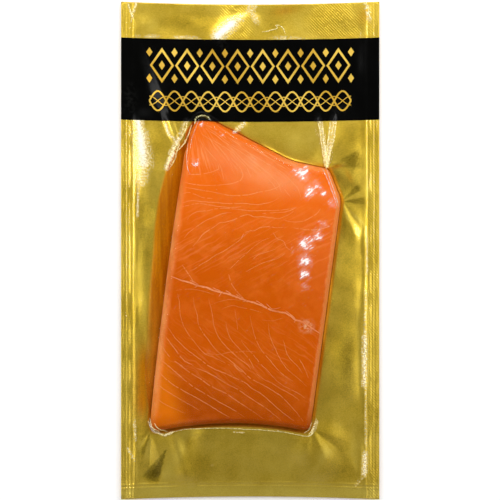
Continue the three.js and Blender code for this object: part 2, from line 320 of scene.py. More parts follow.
FAT_LINES = (
    (0.5, (-55.8, -82.7), (-52.3, -86.2), (-47.7, -89.1), (-42.5, -91.4), (-37.3, -93.7)),
    (0.5, (-54.7, -75.7), (-49.4, -79.8), (-44.8, -82.7), (-39, -86.2), (-33.8, -89.1),
        (-29.1, -92)),
    (0.55, (-53.5, -68.8), (-48.9, -73.4), (-43.6, -77.5), (-36.7, -81.5), (-30.3, -85),
        (-23.3, -89.1), (-16.9, -93.1), (-11.7, -96)),
    (0.55, (-53.5, -56.6), (-51.8, -61.8), (-48.9, -64.7), (-45.4, -67.6), (-40.7, -71.7),
        (-36.1, -75.7), (-30.3, -79.8), (-23.3, -83.9), (-16.4, -87.9), (-10, -91.4), (-3, -96)),
    (0.6, (-51.8, -48.5), (-51.2, -53.1), (-48.9, -57.7), (-45.4, -61.8), (-40.7, -65.3),
        (-34.9, -69.9), (-29.1, -73.4), (-22.2, -78.1), (-14, -82.1), (-7.1, -86.8), (-0.1, -91.4),
        (7.4, -96.6)),
    (0.6, (-48.3, -49.6), (-45.4, -53.7), (-43.1, -56.6), (-40.7, -60.1), (-37.3, -63.5),
        (-32.6, -65.9)),
    (0.55, (-30.9, -67.6), (-26.2, -69.3), (-20.4, -72.2), (-14, -76.3), (-7.1, -79.8),
        (-1.3, -83.9), (3.9, -87.3), (9.2, -90.8), (14.4, -94.9), (17.9, -97.8)),
    (0.5, (-48.9, -42.1), (-45.4, -46.7), (-43.1, -50.2), (-40.2, -53.1), (-36.7, -56.6),
        (-32, -60.1), (-27.4, -63.5), (-25.1, -65.3), (-20.4, -68.2), (-14.6, -70.5), (-8.2, -73.4),
        (-2.4, -76.3), (1, -79.2), (6.8, -82.7), (11.5, -86.8), (17.3, -92), (23.1, -96.6),
        (26.6, -98.9)),
    (0.45, (-41.9, -24.7), (-40.7, -29.3), (-40.2, -36.3), (-38.4, -42.7), (-35.5, -47.9),
        (-32, -52.5), (-28.6, -56.6), (-25.6, -59.5), (-21, -61.2), (-16.4, -63.5), (-11.7, -65.9)),
    (0.6, (-9.4, -65.3), (-7.1, -68.2), (-4.2, -69.9)),
    (0.5, (-32.6, -27), (-32, -31.6), (-30.3, -37.4), (-29.7, -42.1), (-27.4, -46.7),
        (-23.9, -51.4), (-20.4, -56), (-16.9, -59.5), (-12.3, -62.4), (-8.2, -65.9), (-4.2, -69.3),
        (-1.9, -71.7), (2.2, -74.6), (8, -77.5), (12.7, -80.4), (17.9, -83.9), (21.9, -87.9),
        (26.6, -93.1), (30.6, -98.4)),
    (0.5, (-23.9, -27.6), (-22.7, -32.2), (-21.6, -37.4), (-21, -42.1), (-19.3, -47.3),
        (-16.9, -51.4), (-14, -54.8), (-10.6, -58.3), (-5.9, -62.4), (-1.9, -65.3), (1, -68.8)),
    (0.45, (3.4, -70.5), (6.8, -73.4), (11.5, -75.7), (16.1, -78.6), (21.4, -81.5), (25.4, -83.9),
        (28.3, -86.2)),
    (0.4, (-14, -40.9), (-12.9, -46.7), (-10.6, -51.4), (-7.1, -55.4), (-3, -59.5), (-0.1, -63),
        (2.2, -67.6)),
    (0.4, (-8.8, -33.9), (-7.7, -40.9), (-7.1, -45.6)),
    (0.4, (-5.3, -51.4), (-2.4, -55.4), (1, -58.9), (3.9, -62.4), (6.8, -65.9), (10.3, -69.3),
        (13.8, -73.4), (17.9, -76.9), (21.9, -79.2), (26.6, -81.5), (31.8, -85)),
    (0.4, (-0.1, -37.4), (1.6, -45.6), (2.8, -49.6), (4.5, -53.7), (6.8, -57.7), (10.3, -61.8),
        (13.2, -65.3), (16.7, -69.3), (20.8, -72.8), (24.8, -75.1)),
    (0.35, (10.3, -42.1), (11.5, -49.6), (15, -57.7), (17.9, -63.5), (21.4, -68.2), (25.4, -71.7),
        (28.9, -74.6), (32.4, -78.1)),
    (0.35, (19, -51.4), (20.8, -58.3), (23.1, -62.4), (27.2, -66.4), (30.1, -70.5)),
    (0.4, (28.3, -62.4), (30.6, -66.4), (32.4, -70.5), (33.5, -73.4)),
    (0.35, (-26.2, -58.9), (-21, -59.5), (-16.4, -59.5), (-11.7, -58.3), (-7.7, -58.3),
        (-2.4, -57.7), (3.4, -58.3)),
    (0.3, (-42.5, -22.9), (-37.3, -22.3), (-32, -22.3), (-26.2, -23.5), (-21, -25.2)),
    (0.3, (-22.2, -31), (-17.5, -29.3), (-11.7, -28.1), (-5.3, -28.7)),
    (0.3, (-15.8, -33.4), (-10.6, -31.6), (-4.8, -32.8), (1, -33.9), (6.8, -35.7)),
    (0.3, (6.8, -39.8), (12.7, -40.3), (19, -38.6)),
    (0.6, (-12.3, -13.6), (-11.1, -18.3), (-9.4, -21.2), (-7.1, -24.1), (-3.6, -27.6)),
    (0.5, (-39, -8.4), (-36.1, -12.5), (-32.6, -17.7)),
    (0.4, (-36.1, 17.7), (-33.8, 20.6), (-30.3, 22.3), (-24.5, 22.9), (-18.7, 24.1), (-12.9, 24.1),
        (-5.9, 23.5), (-0.1, 22.9), (6.8, 22.9), (14.4, 22.9), (20.2, 23.5), (26, 24.7)),
    (0.4, (-37.8, 7.3), (-34.9, 10.7), (-31.5, 13.1), (-25.6, 17.1), (-20.4, 19.4), (-15.8, 21.2),
        (-10.6, 21.8)),
    (0.5, (-34.9, 0.3), (-32.6, 2.6), (-29.7, 6.1), (-26.8, 9.6), (-23.3, 11.9), (-19.8, 14.2),
        (-17.5, 16), (-13.5, 16.5), (-9.4, 17.7), (-5.9, 19.4), (-1.3, 20.6), (2.2, 19.4),
        (6.8, 19.4), (11.5, 18.9), (16.1, 18.3), (19.6, 19.4), (23.1, 21.2), (26, 23.5)),
    (0.35, (-34.9, -11.9), (-31.5, -10.2), (-28, -7.8), (-23.9, -5.5), (-19.8, -2.6), (-15.2, -0.3),
        (-11.7, 2), (-8.2, 4.4), (-5.3, 6.7), (-3.6, 9.6), (-0.1, 11.3), (2.2, 11.3), (5.7, 13.1),
        (10.3, 13.6), (15.6, 13.1), (21.4, 13.6)),
    (0.3, (-11.7, -10.7), (-9.4, -8.4), (-5.9, -4.9), (-2.4, -2), (0.5, 0.9), (3.4, 3.2),
        (6.8, 5.5), (11.5, 7.3)),
    (0.35, (-3, -12.5), (1, -10.2), (5.7, -7.8), (10.3, -6.1), (16.1, -4.4), (20.2, -1.5)),
    (0.3, (1, -5.5), (4.5, -2.6), (9.2, -0.9), (15, 0.9)),
    (0.4, (13.2, 10.2), (15.6, 6.7), (19, 5.5), (20.8, 2), (23.7, -0.3)),
    (0.45, (-40.7, 24.7), (-36.1, 25.8), (-30.3, 27), (-24.5, 26.4), (-17.5, 25.2), (-10.6, 24.7),
        (-4.8, 25.2)),
    (0.45, (-39.6, 27), (-33.8, 28.7), (-28, 28.1), (-20.4, 27.6), (-12.9, 27), (-3, 27),
        (3.4, 26.4), (8.6, 27), (12.7, 28.1), (16.1, 29.9)),
    (0.4, (-40.7, 31.6), (-36.1, 33.4), (-31.5, 32.2), (-27.4, 30.5), (-21.6, 29.9)),
    (0.5, (-37.3, 36.3), (-30.3, 35.1), (-23.3, 33.9), (-17.5, 32.8), (-11.7, 31.6), (-5.9, 31.6),
        (-0.1, 32.2), (4.5, 33.4), (10.3, 34.5), (15.6, 36.3), (18.5, 39.8)),
    (0.5, (-37.8, 39.2), (-32, 38), (-26.2, 37.4), (-20.4, 37.4), (-14.6, 38), (-10, 38.6),
        (-5.9, 40.3), (-4.2, 43.2), (-5.3, 46.7), (-8.2, 50.2), (-11.1, 53.1)),
    (0.55, (-35.5, 43.8), (-30.3, 43.8), (-25.6, 44.4), (-21, 45.6), (-18.1, 47.3), (-19.3, 50.2)),
    (0.45, (6.8, 21.2), (14.4, 21.8), (20.8, 22.3), (26.6, 24.7)),
    (0.45, (19, 17.7), (23.1, 16.5), (27.2, 16.5), (31.2, 17.1), (34.7, 18.9), (38.2, 21.2),
        (40.5, 24.1)),
    (0.55, (24.8, 13.1), (28.3, 12.5), (32.4, 11.9), (37, 11.9), (41.1, 12.5), (44.6, 13.6),
        (48, 16.5)),
    (0.45, (-26.2, 70.5), (-20.4, 67), (-14.6, 62.4), (-8.8, 58.9), (-4.2, 56), (1, 51.9),
        (6.8, 47.3), (11.5, 43.2), (16.1, 38.6), (17.9, 33.4)),
    (0.6, (-26.8, 72.8), (-21, 70.5), (-16.4, 67.6), (-14, 64.7)),
    (0.4, (-11.7, 63.5), (-5.9, 59.5), (-0.1, 56), (6.8, 51.9), (12.7, 48.5), (19, 44.4),
        (23.7, 39.8), (27.7, 35.1), (29.5, 28.7)),
    (0.35, (-8.2, 64.1), (-1.3, 60.1), (5.7, 56.6), (12.7, 52.5), (19.6, 49), (25.4, 45)),
    (0.35, (-0.1, 60.1), (6.8, 57.2), (14.4, 53.7), (21.4, 50.8), (27.2, 47.9), (33.5, 46.1)),
    (0.3, (6.8, 58.3), (14.4, 55.4), (21.9, 52.5), (29.5, 49.6)),
    (0.4, (-28.6, 67.6), (-23.3, 64.1), (-18.7, 60.1), (-15.2, 56), (-12.3, 51.9), (-10, 47.3)),
    (0.4, (-29.1, 63.5), (-25.6, 58.9), (-21.6, 54.3), (-18.1, 50.2), (-16.4, 46.1), (-15.2, 40.9)),
    (0.45, (-23.3, 64.7), (-17.5, 61.2), (-11.1, 57.2), (-5.9, 51.9), (-1.9, 47.3), (0.5, 42.1)),
    (0.35, (-3.6, 53.1), (2.8, 48.5), (7.4, 44.4), (12.1, 39.2), (15.6, 34.5)),
    (0.35, (17.9, 38), (20.2, 34.5), (23.1, 31)),
    (0.3, (-25.6, 71.7), (-18.7, 67), (-11.7, 61.8), (-4.2, 57.7), (3.4, 53.7), (10.3, 49.6),
        (16.7, 45), (21.4, 40.3)),
)

SEAM_LINES = (
    (1.0, (-45.4, -14.8), (-39.6, -17.1), (-34.9, -18.3), (-30.3, -20), (-25.1, -21.2),
        (-21, -22.9), (-16.4, -24.1), (-11.7, -25.2), (-7.1, -27), (-2.4, -28.7), (2.2, -29.9),
        (6.8, -31.6), (11.5, -33.9), (16.1, -35.1), (19.6, -35.7), (23.1, -37.4), (26, -39.8),
        (30.1, -40.9), (33.5, -43.2), (37, -45.6), (40.5, -47.9)),
    (0.4, (-34.4, -17.1), (-29.7, -19.4)),
    (0.4, (-32, -21.2), (-29.1, -20)),
    (0.4, (-21.6, -21.2), (-16.9, -23.5)),
    (0.4, (-18.1, -26.4), (-16.4, -24.1)),
    (0.4, (-8.2, -25.2), (-3.6, -27.6)),
    (0.4, (-4.2, -29.3), (-0.7, -28.7)),
    (0.4, (9.2, -30.5), (12.7, -33.4), (17.3, -32.8)),
    (0.4, (20.2, -34.5), (25.4, -38.6), (25.4, -41.5)),
    (0.4, (31.2, -40.3), (34.7, -43.8), (31.8, -47.3)),
    (0.4, (-14, -22.9), (-10.6, -25.2)),
    (0.4, (3.4, -28.7), (8, -31.6)),
)

FILM_FOLDS = (
    (0.7, (39.3, 74.6), (40.5, 69.3), (41.1, 63.5), (42.2, 56.6), (43.4, 48.5)),
    (0.6, (41.7, 74.6), (42.2, 68.8), (42.8, 63), (43.4, 56.6), (44, 50.2)),
    (0.8, (46.3, 74.6), (45.7, 69.3), (45.1, 62.4), (44.6, 56.6), (44, 47.3)),
    (0.7, (49.2, 74), (49.2, 68.8), (48, 62.4), (46.3, 56), (45.1, 47.9)),
    (0.8, (42.8, 57.7), (44.6, 53.1), (44, 47.3)),
    (0.5, (41.7, 47.3), (44, 42.1), (46.9, 34.5), (49.8, 25.8)),
    (0.4, (44, 47.3), (46.3, 40.3), (48.6, 33.4), (51, 25.2)),
    (1.0, (-32, 72.8), (-31.5, 76.3), (-28.6, 78.1), (-25.1, 77.8), (-22.7, 75.1)),
    (0.3, (-29.1, 76.3), (-31.3, 71.1), (-33.6, 64.7), (-34.5, 58.9)),
    (0.35, (-35.9, 62), (-36.6, 55), (-36.2, 48), (-34.6, 44)),
    (0.6, (-33.9, 50.5), (-32.0, 48.9), (-30.4, 49.2), (-30.2, 53.0)),
    (0.9, (-36.7, 74), (-37.3, 70.5), (-39, 67), (-41.3, 63), (-44.2, 58.9), (-46.5, 53.7),
        (-48.3, 47.3)),
    (0.7, (-33.8, 72.8), (-35.5, 67.6), (-38.4, 61.8), (-42.5, 57.7)),
    (0.7, (-40.7, 61.8), (-42.5, 57.7), (-43.6, 53.1), (-46.5, 48.5)),
    (0.6, (-9.4, 68.2), (-6.5, 71.1), (-2.4, 74)),
    (0.45, (-57, -101.3), (-54.1, -105.3), (-49.4, -107.1), (-45.4, -105.3), (-37.8, -103.6),
        (-26.2, -103), (-14.6, -103), (-3, -103.6), (8.6, -104.2), (20.2, -105.3), (28.9, -107.1),
        (33.5, -107.6), (37.6, -104.7), (39.3, -98.9)),
    (0.6, (-58.1, -96.6), (-56.4, -101.8), (-52.3, -104.7)),
    (0.5, (-55.2, -99.5), (-52.3, -103), (-47.7, -104.7)),
    (0.7, (34.1, -106.5), (36.4, -103), (38.2, -97.2)),
    (0.5, (31.2, -105.9), (34.1, -103), (35.9, -98.9)),
    (0.45, (6.8, 126.8), (11.5, 127.7), (15.6, 129.1), (15, 130.9), (17.3, 130.3), (19.6, 128),
        (20.2, 125.6)),
    (0.6, (-70.9, 143.6), (-69.8, 140.1), (-68.6, 136.1)),
    (0.6, (-65.7, 143.6), (-67.4, 140.1), (-68.6, 136.1), (-69.2, 132)),
    (0.7, (67.2, 143), (68.9, 140.1), (69.2, 137.2), (70.1, 133.8)),
)


# Creases and swells of the pouch

def pleat(x, y, start, end, width, height):
    """A raised fold along a line, lower towards both ends."""
    start, end = np.array(start, float), np.array(end, float)
    run_x, run_y = end - start
    length = np.linalg.norm(end - start)
    along = ((x - start[0]) * run_x + (y - start[1]) * run_y) / length
    across = ((x - start[0]) * run_y - (y - start[1]) * run_x) / length
    taper = smooth(-width, width, along) * smooth(length + width, length - width, along)
    return height * taper * bell(across, width / 2)


def fluted(x, y, centre, reach, folds):
    """Folds that fan out from a point: (direction in degrees, lift per mm) pairs in order."""
    away = np.hypot(x - centre[0], y - centre[1])
    turn = np.degrees(np.arctan2(y - centre[1], x - centre[0]))
    directions, lifts = np.array(folds, float).T
    turn = (turn - directions[0]) % 360 + directions[0]
    lift = np.interp(turn, directions, lifts)
    return lift * away * smooth(reach, reach * 0.35, away)


def waves(x, y, length, seed):
    """Soft uneven waves between about -1 and 1."""
    random = np.random.default_rng(seed)
    total = np.zeros(np.shape(x))
    for _ in range(7):
        direction = random.uniform(0, 2 * math.pi)
        step = 2 * math.pi / (length * random.uniform(0.7, 1.5))
        phase = random.uniform(0, 2 * math.pi)
        along = x * math.cos(direction) + y * math.sin(direction)
        total += np.sin(along * step + phase)
    return total / 3.5


def inside_edge(x, y):
    """Distance in from the pouch's nearest edge."""
    bow = END_BOW * (1 - (2 * x / POUCH_WIDTH) ** 2)
    return np.minimum(POUCH_WIDTH / 2 - np.abs(x), POUCH_LENGTH / 2 - bow - np.abs(y))


SHEET_PLEATS = (
    # start, end, width, height
    ((-22.0, 123.0), (-6.0, 134.0), 7.5, 1.3),
    ((-8.0, 133.0), (3.5, 143.5), 4.5, 0.6),
    ((2.0, 143.0), (4.5, 131.0), 3.5, 0.4),
    ((-48.5, 78.0), (-43.0, 63.0), 4.5, 0.8),
    ((-8.5, 68.5), (-2.0, 74.5), 2.2, 0.5),
    ((46.0, 48.0), (54.0, 50.5), 2.4, 0.3),
    ((-62.0, -108.0), (-70.0, -128.0), 4.0, 0.15),
    ((-44.0, -108.0), (-36.0, -136.0), 8.0, 0.5),
)

FANS = (
    # centre and reach of folds that fan out, then each direction in degrees and lift per mm
    ((53.5, 28.5), 34, (
        (-100, 0.0), (-69, 0.035), (-57, 0.01), (-43, 0.025), (-12, -0.006), (22, 0.018),
        (45, -0.01), (70, 0.01), (100, 0.0), (180, 0.0), (260, 0.0),
    )),
    ((46.5, 49.0), 30, (
        (-60, 0.0), (-35, 0.012), (-5, -0.01), (28, 0.012), (60, -0.006), (90, 0.01),
        (140, 0.0), (300, 0.0),
    )),
    ((-58.0, -104.0), 30, (
        (-180, 0.0), (-150, 0.008), (-125, -0.012), (-108, 0.025), (-92, -0.02), (-72, 0.03),
        (-40, 0.0), (180, 0.0),
    )),
    ((36.0, -104.0), 24, (
        (-140, 0.0), (-110, 0.03), (-90, 0.0), (-65, 0.025), (-35, -0.01), (-15, 0.01),
        (20, 0.0), (220, 0.0),
    )),
)

SIDE_RIDGES = (
    # height up the pouch, and how high the fold beside the right seal is there
    (-140, 0.1), (-134, 0.42), (-116, 0.36), (-108, 0.12), (-92, 0.1), (-86, 0.36), (-48, 0.42),
    (-26, 0.34), (-14, 0.14), (-4, 0.12), (2, 0.36), (8, 0.36), (14, 0.06), (58, 0.02),
    (66, 0.08), (124, 0.12), (140, 0.2),
)


def sheet_relief(x, y):
    """Creases and swells that the film and the back sheet share, above their smooth form."""
    inset = inside_edge(x, y)
    free = smooth(SEAL_WIDTH, SEAL_WIDTH + 8, inset)
    relief = free * (0.35 * waves(x, y, 46, 3) + 0.1 * waves(x, y, 17, 8))
    # A swell under the bright place beside the left seal
    left = smooth(-69, -62.5, x) * smooth(-50, -61, x) * smooth(18, 50, y) * smooth(84, 76, y)
    relief = relief + 0.8 * left
    # A fold along each side seal, flatter under the black band
    folded = from_table(y, SIDE_RIDGES)
    folded = np.where(x > 0, folded, 0.09 + 0.08 * waves(0 * x, y, 55, 5))
    reach = 1.0 + 3.5 * np.clip(folded - 0.15, 0, 1) * (x > 0)
    bare = 1 - 0.8 * smooth(70, 80, y) * smooth(128, 120, y)
    ends = smooth(2, 12, POUCH_LENGTH / 2 - np.abs(y))
    relief = relief + folded * bell(np.abs(x) - 66.5, reach) * ends * bare
    for start, end, width, height in SHEET_PLEATS:
        relief = relief + pleat(x, y, start, end, width, height) * smooth(4, 9, inset)
    for centre, reach, folds in FANS:
        relief = relief + fluted(x, y, centre, reach, folds) * free
    return relief


FILM_PLEATS = (
    # start, end, width, height
    ((39.0, 77.0), (44.0, 50.0), 2.4, 0.9),
    ((48.0, 78.0), (44.8, 50.0), 2.4, 0.9),
    ((-36.5, 75.5), (-41.5, 62.0), 2.6, 0.7),
    ((-41.5, 62.0), (-48.5, 47.5), 2.4, 0.6),
    ((46.0, 46.0), (52.0, 31.0), 1.1, 0.35),
)


def film_relief(x, y):
    """Folds in the film alone."""
    relief = np.zeros(np.shape(x))
    crinkle = 1 + 0.3 * waves(x, y, 3.4, 21)
    for start, end, width, height in FILM_PLEATS:
        relief = relief + pleat(x, y, start, end, width, height) * crinkle
    return relief


PAINTED_GLINTS = (
    # x, y, span and strength of painted glints over the salmon
    (30.0, 44.5, 4.8, 0.95),
    (38.0, 38.0, 3.2, 0.85),
    (34.4, 34.0, 4.0, 0.95),
    (42.0, 33.0, 2.8, 0.75),
    (47.0, 27.0, 3.0, 0.75),
    (31.5, 4.0, 4.8, 0.95),
    (39.0, 8.5, 3.6, 0.85),
    (31.5, -5.5, 4.4, 0.95),
    (31.0, -13.5, 3.8, 0.85),
    (31.5, -21.0, 3.2, 0.65),
    (24.5, 0.5, 1.6, 0.6),
    (42.0, 15.0, 3.4, 0.6),
    (-28.0, 72.5, 1.6, 0.7),
    (-31.5, 50.0, 2.4, 0.7),
    (-15.7, 66.0, 1.6, 0.5),
)


PAINTED_HIGHLIGHTS = (
    # start, end, half width and strength of painted highlights on the film
    ((-19.0, 124.6), (-10.5, 131.6), 3.4, 1.0),
    ((-10.5, 131.6), (-5.9, 135.0), 2.2, 0.75),
    ((-5.9, 135.0), (2.8, 142.0), 1.3, 0.5),
    ((-0.6, 141.5), (3.8, 133.0), 1.8, 0.5),
    ((67.2, 143.0), (69.6, 134.5), 0.8, 0.8),
    ((-70.9, 143.6), (-68.6, 136.0), 0.6, 0.6),
    ((-66.3, 143.6), (-68.6, 136.0), 0.7, 0.7),
    ((-66.0, 124.6), (-25.0, 123.3), 0.5, 0.45),
    ((-4.0, 122.9), (40.0, 123.4), 0.5, 0.35),
    ((40.0, 123.4), (66.0, 124.5), 0.6, 0.5),
    ((-65.4, 77.0), (-63.8, 67.0), 2.8, 0.85),
    ((-63.8, 67.0), (-62.6, 57.0), 4.2, 0.85),
    ((-62.6, 57.0), (-62.0, 50.5), 5.0, 0.75),
    ((-62.0, 50.5), (-63.4, 41.0), 4.0, 0.5),
    ((-49.2, 73.6), (-47.4, 67.5), 0.9, 0.75),
    ((-47.4, 67.5), (-43.2, 64.0), 0.8, 0.7),
    ((-37.4, 74.5), (-41.4, 65.0), 1.5, 0.42),
    ((-41.4, 65.0), (-45.9, 56.0), 1.5, 0.7),
    ((-44.6, 57.0), (-48.6, 48.0), 1.5, 0.8),
    ((40.2, 74.6), (42.8, 60.0), 1.3, 0.42),
    ((48.2, 74.6), (46.6, 60.0), 1.5, 0.42),
    ((43.2, 60.0), (44.4, 49.0), 1.1, 0.8),
    ((46.4, 60.0), (44.8, 50.0), 0.9, 0.7),
    ((-9.0, 68.4), (-3.4, 73.8), 1.0, 0.75),
    ((-58.6, -99.5), (-56.0, -104.6), 0.8, 0.5),
    ((-56.0, -104.6), (-49.6, -107.2), 0.7, 0.6),
    ((-49.6, -107.2), (-45.0, -105.2), 0.7, 0.9),
    ((34.8, -107.4), (38.6, -99.0), 0.8, 0.6),
    ((-9.0, -105.3), (-4.0, -105.6), 0.5, 0.5),
    ((67.8, 8.5), (67.8, -14.0), 0.6, 0.5),
    ((67.1, -24.0), (66.6, -50.0), 0.9, 0.45),
    ((66.6, -50.0), (66.2, -78.0), 1.6, 0.66),
    ((67.0, -78.0), (67.1, -114.0), 0.7, 0.35),
    ((66.8, -118.0), (66.2, -130.0), 1.5, 0.7),
    ((66.2, -130.0), (60.5, -137.0), 0.8, 0.3),
    ((-65.0, 36.0), (-65.4, 20.0), 0.7, 0.6),
    ((-17.5, 126.0), (-12.0, 130.4), 2.6, 1.0),
    ((-67.2, -99.0), (-66.6, -110.0), 0.9, 0.45),
    ((-71.0, -115.0), (-67.2, -121.5), 0.8, 0.4),
)

SHEEN_AND_SHADE_PATCHES = (
    # Patches of painted shade on the foil, and of painted sheen where the last number is below 0
    # middle, half length, half width and direction of patches, and how dark: lighter below 0
    (50.4, 41.5, 6.0, 3.0, -70, 0.35),
    (60.5, 51.0, 5.5, 6.0, 80, 0.3),
    (61.0, 38.0, 5.0, 5.0, 0, 0.25),
    (60.0, 62.5, 9.0, 6.5, 80, 0.65),
    (58.5, -20.0, 50.0, 5.0, 90, 0.18),
    (-46.5, 70.0, 4.2, 3.0, -60, -0.45),
    (-53.0, 64.0, 14.0, 3.5, 80, 0.25),
    (-60.0, 0.0, 26.0, 3.5, 90, 0.18),
    (-62.0, -22.0, 12.0, 4.0, 90, -0.15),
    (-56.0, -131.0, 5.0, 3.6, 20, 0.35),
    (-62.5, -82.0, 14.0, 4.4, 88, 0.5),
    (-43.5, -121.0, 20.0, 4.6, 66, -0.42),
    (-27.5, -124.0, 9.0, 5.0, 55, 0.12),
    (-5.0, -118.0, 12.0, 6.0, 10, 0.05),
    (0.0, -140.8, 200.0, 5.0, 0, -0.8),
    (56.5, -66.0, 20.0, 5.0, 90, 0.75),
    (-50.0, -129.0, 5.0, 3.0, 60, -0.25),
    (14.0, -128.0, 16.0, 6.0, 20, -0.2),
    (41.0, -122.0, 10.0, 3.0, 60, -0.35),
    (50.0, -126.0, 8.0, 6.0, 80, 0.35),
    (-40.0, 132.0, 13.0, 5.0, 0, 0.25),
    (-58.0, 133.0, 8.0, 8.0, 0, -0.25),
    (14.0, 129.5, 6.0, 3.0, 30, 0.35),
    (30.0, 130.0, 8.0, 5.0, -45, -0.25),
    (52.0, 130.5, 12.0, 5.0, -20, 0.3),
    (22.0, 67.0, 16.0, 6.0, -25, -0.35),
    (-2.0, 72.0, 6.0, 3.0, 20, 0.2),
    (36.0, 66.0, 9.0, 3.0, -80, -0.2),
    (63.0, -60.0, 16.0, 2.4, 90, -0.35),
    (60.0, -116.0, 16.0, 3.0, 96, -0.3),
    (-66.0, -60.0, 10.0, 1.5, 90, -0.2),
)

SHEEN_AND_SHADE_WEDGES = (
    # Wedges of painted shade on the foil, and of painted sheen where the last number is below 0
    # a tip, then the direction and spread in degrees of each wedge that widens from it, its
    # reach, and how dark it is: lighter below 0
    ((-48.4, -114.6), (-117.0, 14.0, 24.0, 0.6), (-112.0, 9.0, 19.0, 0.3)),
    ((45.1, 49.0), (12.0, 15.0, 22.0, 0.35), (44.0, 14.0, 26.0, -0.15)),
    ((52.7, 28.4), (2.0, 9.0, 15.5, 0.6), (38.0, 9.0, 15.5, 0.4), (22.0, 8.0, 14.0, -0.25),
        (-25.0, 15.0, 15.5, 0.2), (-55.0, 12.0, 26.0, -0.3), (-44.0, 2.0, 20.0, -0.6),
        (-68.0, 4.0, 14.0, -0.7), (-82.0, 6.0, 18.0, 0.15)),
    ((-57.6, -105.0), (-98.0, 7.0, 19.0, -0.35), (-112.0, 5.0, 16.0, 0.45),
        (-130.0, 7.0, 14.0, -0.3)),
    ((37.4, -104.0), (-60.0, 9.0, 20.0, -0.25), (-30.0, 10.0, 24.0, 0.2)),
)

AMBER_SPOTS = (
    # Amber in the foil; beside the salmon it is a painted reflection of it
    # middle, half length, half width and direction of patches, and how amber
    (49.9, 48.6, 3.4, 1.2, 12, 0.8),
    (57.2, 43.5, 4.2, 1.4, -62, 0.4),
    (20.0, 139.0, 7.0, 2.4, 8, 0.5),
    (66.0, 136.5, 4.2, 3.0, 70, 0.45),
    (-61.8, -68.0, 15.0, 4.4, 88, 1.0),
    (-62.2, -89.0, 10.0, 4.4, 90, 0.85),
)


def turned(x, y, centre_x, centre_y, direction):
    """Distances along and across a direction in degrees, from a centre."""
    cosine, sine = math.cos(math.radians(direction)), math.sin(math.radians(direction))
    along = (x - centre_x) * cosine + (y - centre_y) * sine
    return along, (y - centre_y) * cosine - (x - centre_x) * sine


def patches(x, y, table):
    """The sum of soft oval patches."""
    total = np.zeros(np.shape(x))
    for centre_x, centre_y, length, width, direction, strength in table:
        along, across = turned(x, y, centre_x, centre_y, direction)
        total = total + strength * bell(along, length) * bell(across, width)
    return total


def wedges(x, y, table):
    """The sum of wedges that widen away from their tips, with crisp sides."""
    total = np.zeros(np.shape(x))
    for (tip_x, tip_y), *from_tip in table:
        away = np.hypot(x - tip_x, y - tip_y)
        bearing = np.degrees(np.arctan2(y - tip_y, x - tip_x))
        for direction, spread, reach, strength in from_tip:
            aside = np.abs((bearing - direction + 180) % 360 - 180)
            inside = strength * smooth(spread * 1.15, spread * 0.85, aside)
            total = total + inside * smooth(0, 2, away) * smooth(reach, reach * 0.8, away)
    return total


def strokes(x, y, table):
    """How near points are to straight strokes: 1 on them, falling softly over their width."""
    share = np.zeros(np.shape(x))
    for start, end, width, strength in table:
        run = np.subtract(end, start)
        length = np.hypot(*run)
        along, across = turned(x, y, *start, math.degrees(math.atan2(run[1], run[0])))
        away = np.hypot(across, along - np.clip(along, 0, length))
        share = np.maximum(share, strength * bell(away, width * 0.95))
    return share


def near_spots(x, y, spots):
    """How strongly the film shows round a table of spots, from 0 to 1."""
    share = np.zeros(np.shape(x))
    for centre_x, centre_y, span, strength in spots:
        near = strength * bell(np.hypot(x - centre_x, y - centre_y), span)
        share = np.maximum(share, near)
    return share


# Meshes

def new_object(name, data):
    thing = bpy.data.objects.new(name, data)
    bpy.context.scene.collection.objects.link(thing)
    return thing


def new_piece(name, vertices, faces):
    mesh = bpy.data.meshes.new(name)
    mesh.from_pydata(np.asarray(vertices).tolist(), [], faces)
    mesh.polygons.foreach_set("use_smooth", [True] * len(mesh.polygons))
    mesh.update()
    return new_object(name, mesh)


def ring_skin(name, rings, top, bottom, marks):
    """A skin through rings of points, shape (spokes, rings, 3), closed at the poles that it has.
    Marks are numbers that its points carry."""
    spokes, count, _ = rings.shape
    vertices = (rings * MM).reshape(-1, 3).tolist()
    index = np.arange(spokes * count).reshape(spokes, count)
    after = np.roll(index, -1, axis=0)
    corners = [index[:, :-1], index[:, 1:], after[:, 1:], after[:, :-1]]
    faces = np.stack(corners, axis=-1).reshape(-1, 4).tolist()
    for pole, ring, turned_over in ((top, 0, False), (bottom, count - 1, True)):
        if pole is None:
            continue
        vertices.append([value * MM for value in pole])
        middle = len(vertices) - 1
        for one, other in zip(index[:, ring].tolist(), after[:, ring].tolist()):
            faces.append((middle, other, one) if turned_over else (middle, one, other))
    piece = new_piece(name, vertices, faces)
    for label, values in marks.items():
        flat = np.zeros(len(vertices))
        flat[:spokes * count] = values.reshape(-1)
        flat[spokes * count:] = values[:, 0].mean()
        piece.data.attributes.new(label, "FLOAT", "POINT").data.foreach_set("value", flat)
    return piece


def thicken(distance, height, amount):
    """Profiles moved out square to themselves."""
    run = np.gradient(distance, axis=1)
    rise = np.gradient(height, axis=1)
    length = np.hypot(run, rise)
    return distance - rise / length * amount, height + run / length * amount


def columns(spokes, rows):
    """Rows of ring distances, each a number or one value for each spoke, as one array."""
    return np.stack([np.broadcast_to(row, spokes.place.shape) for row in rows], axis=1)


def steps(count, low=0.0, high=1.0):
    """Evenly spaced shares, without the low end."""
    return [low + (high - low) * k / count for k in range(1, count + 1)]


def with_height(spots, height):
    return np.concatenate([spots, height[..., None]], axis=-1)


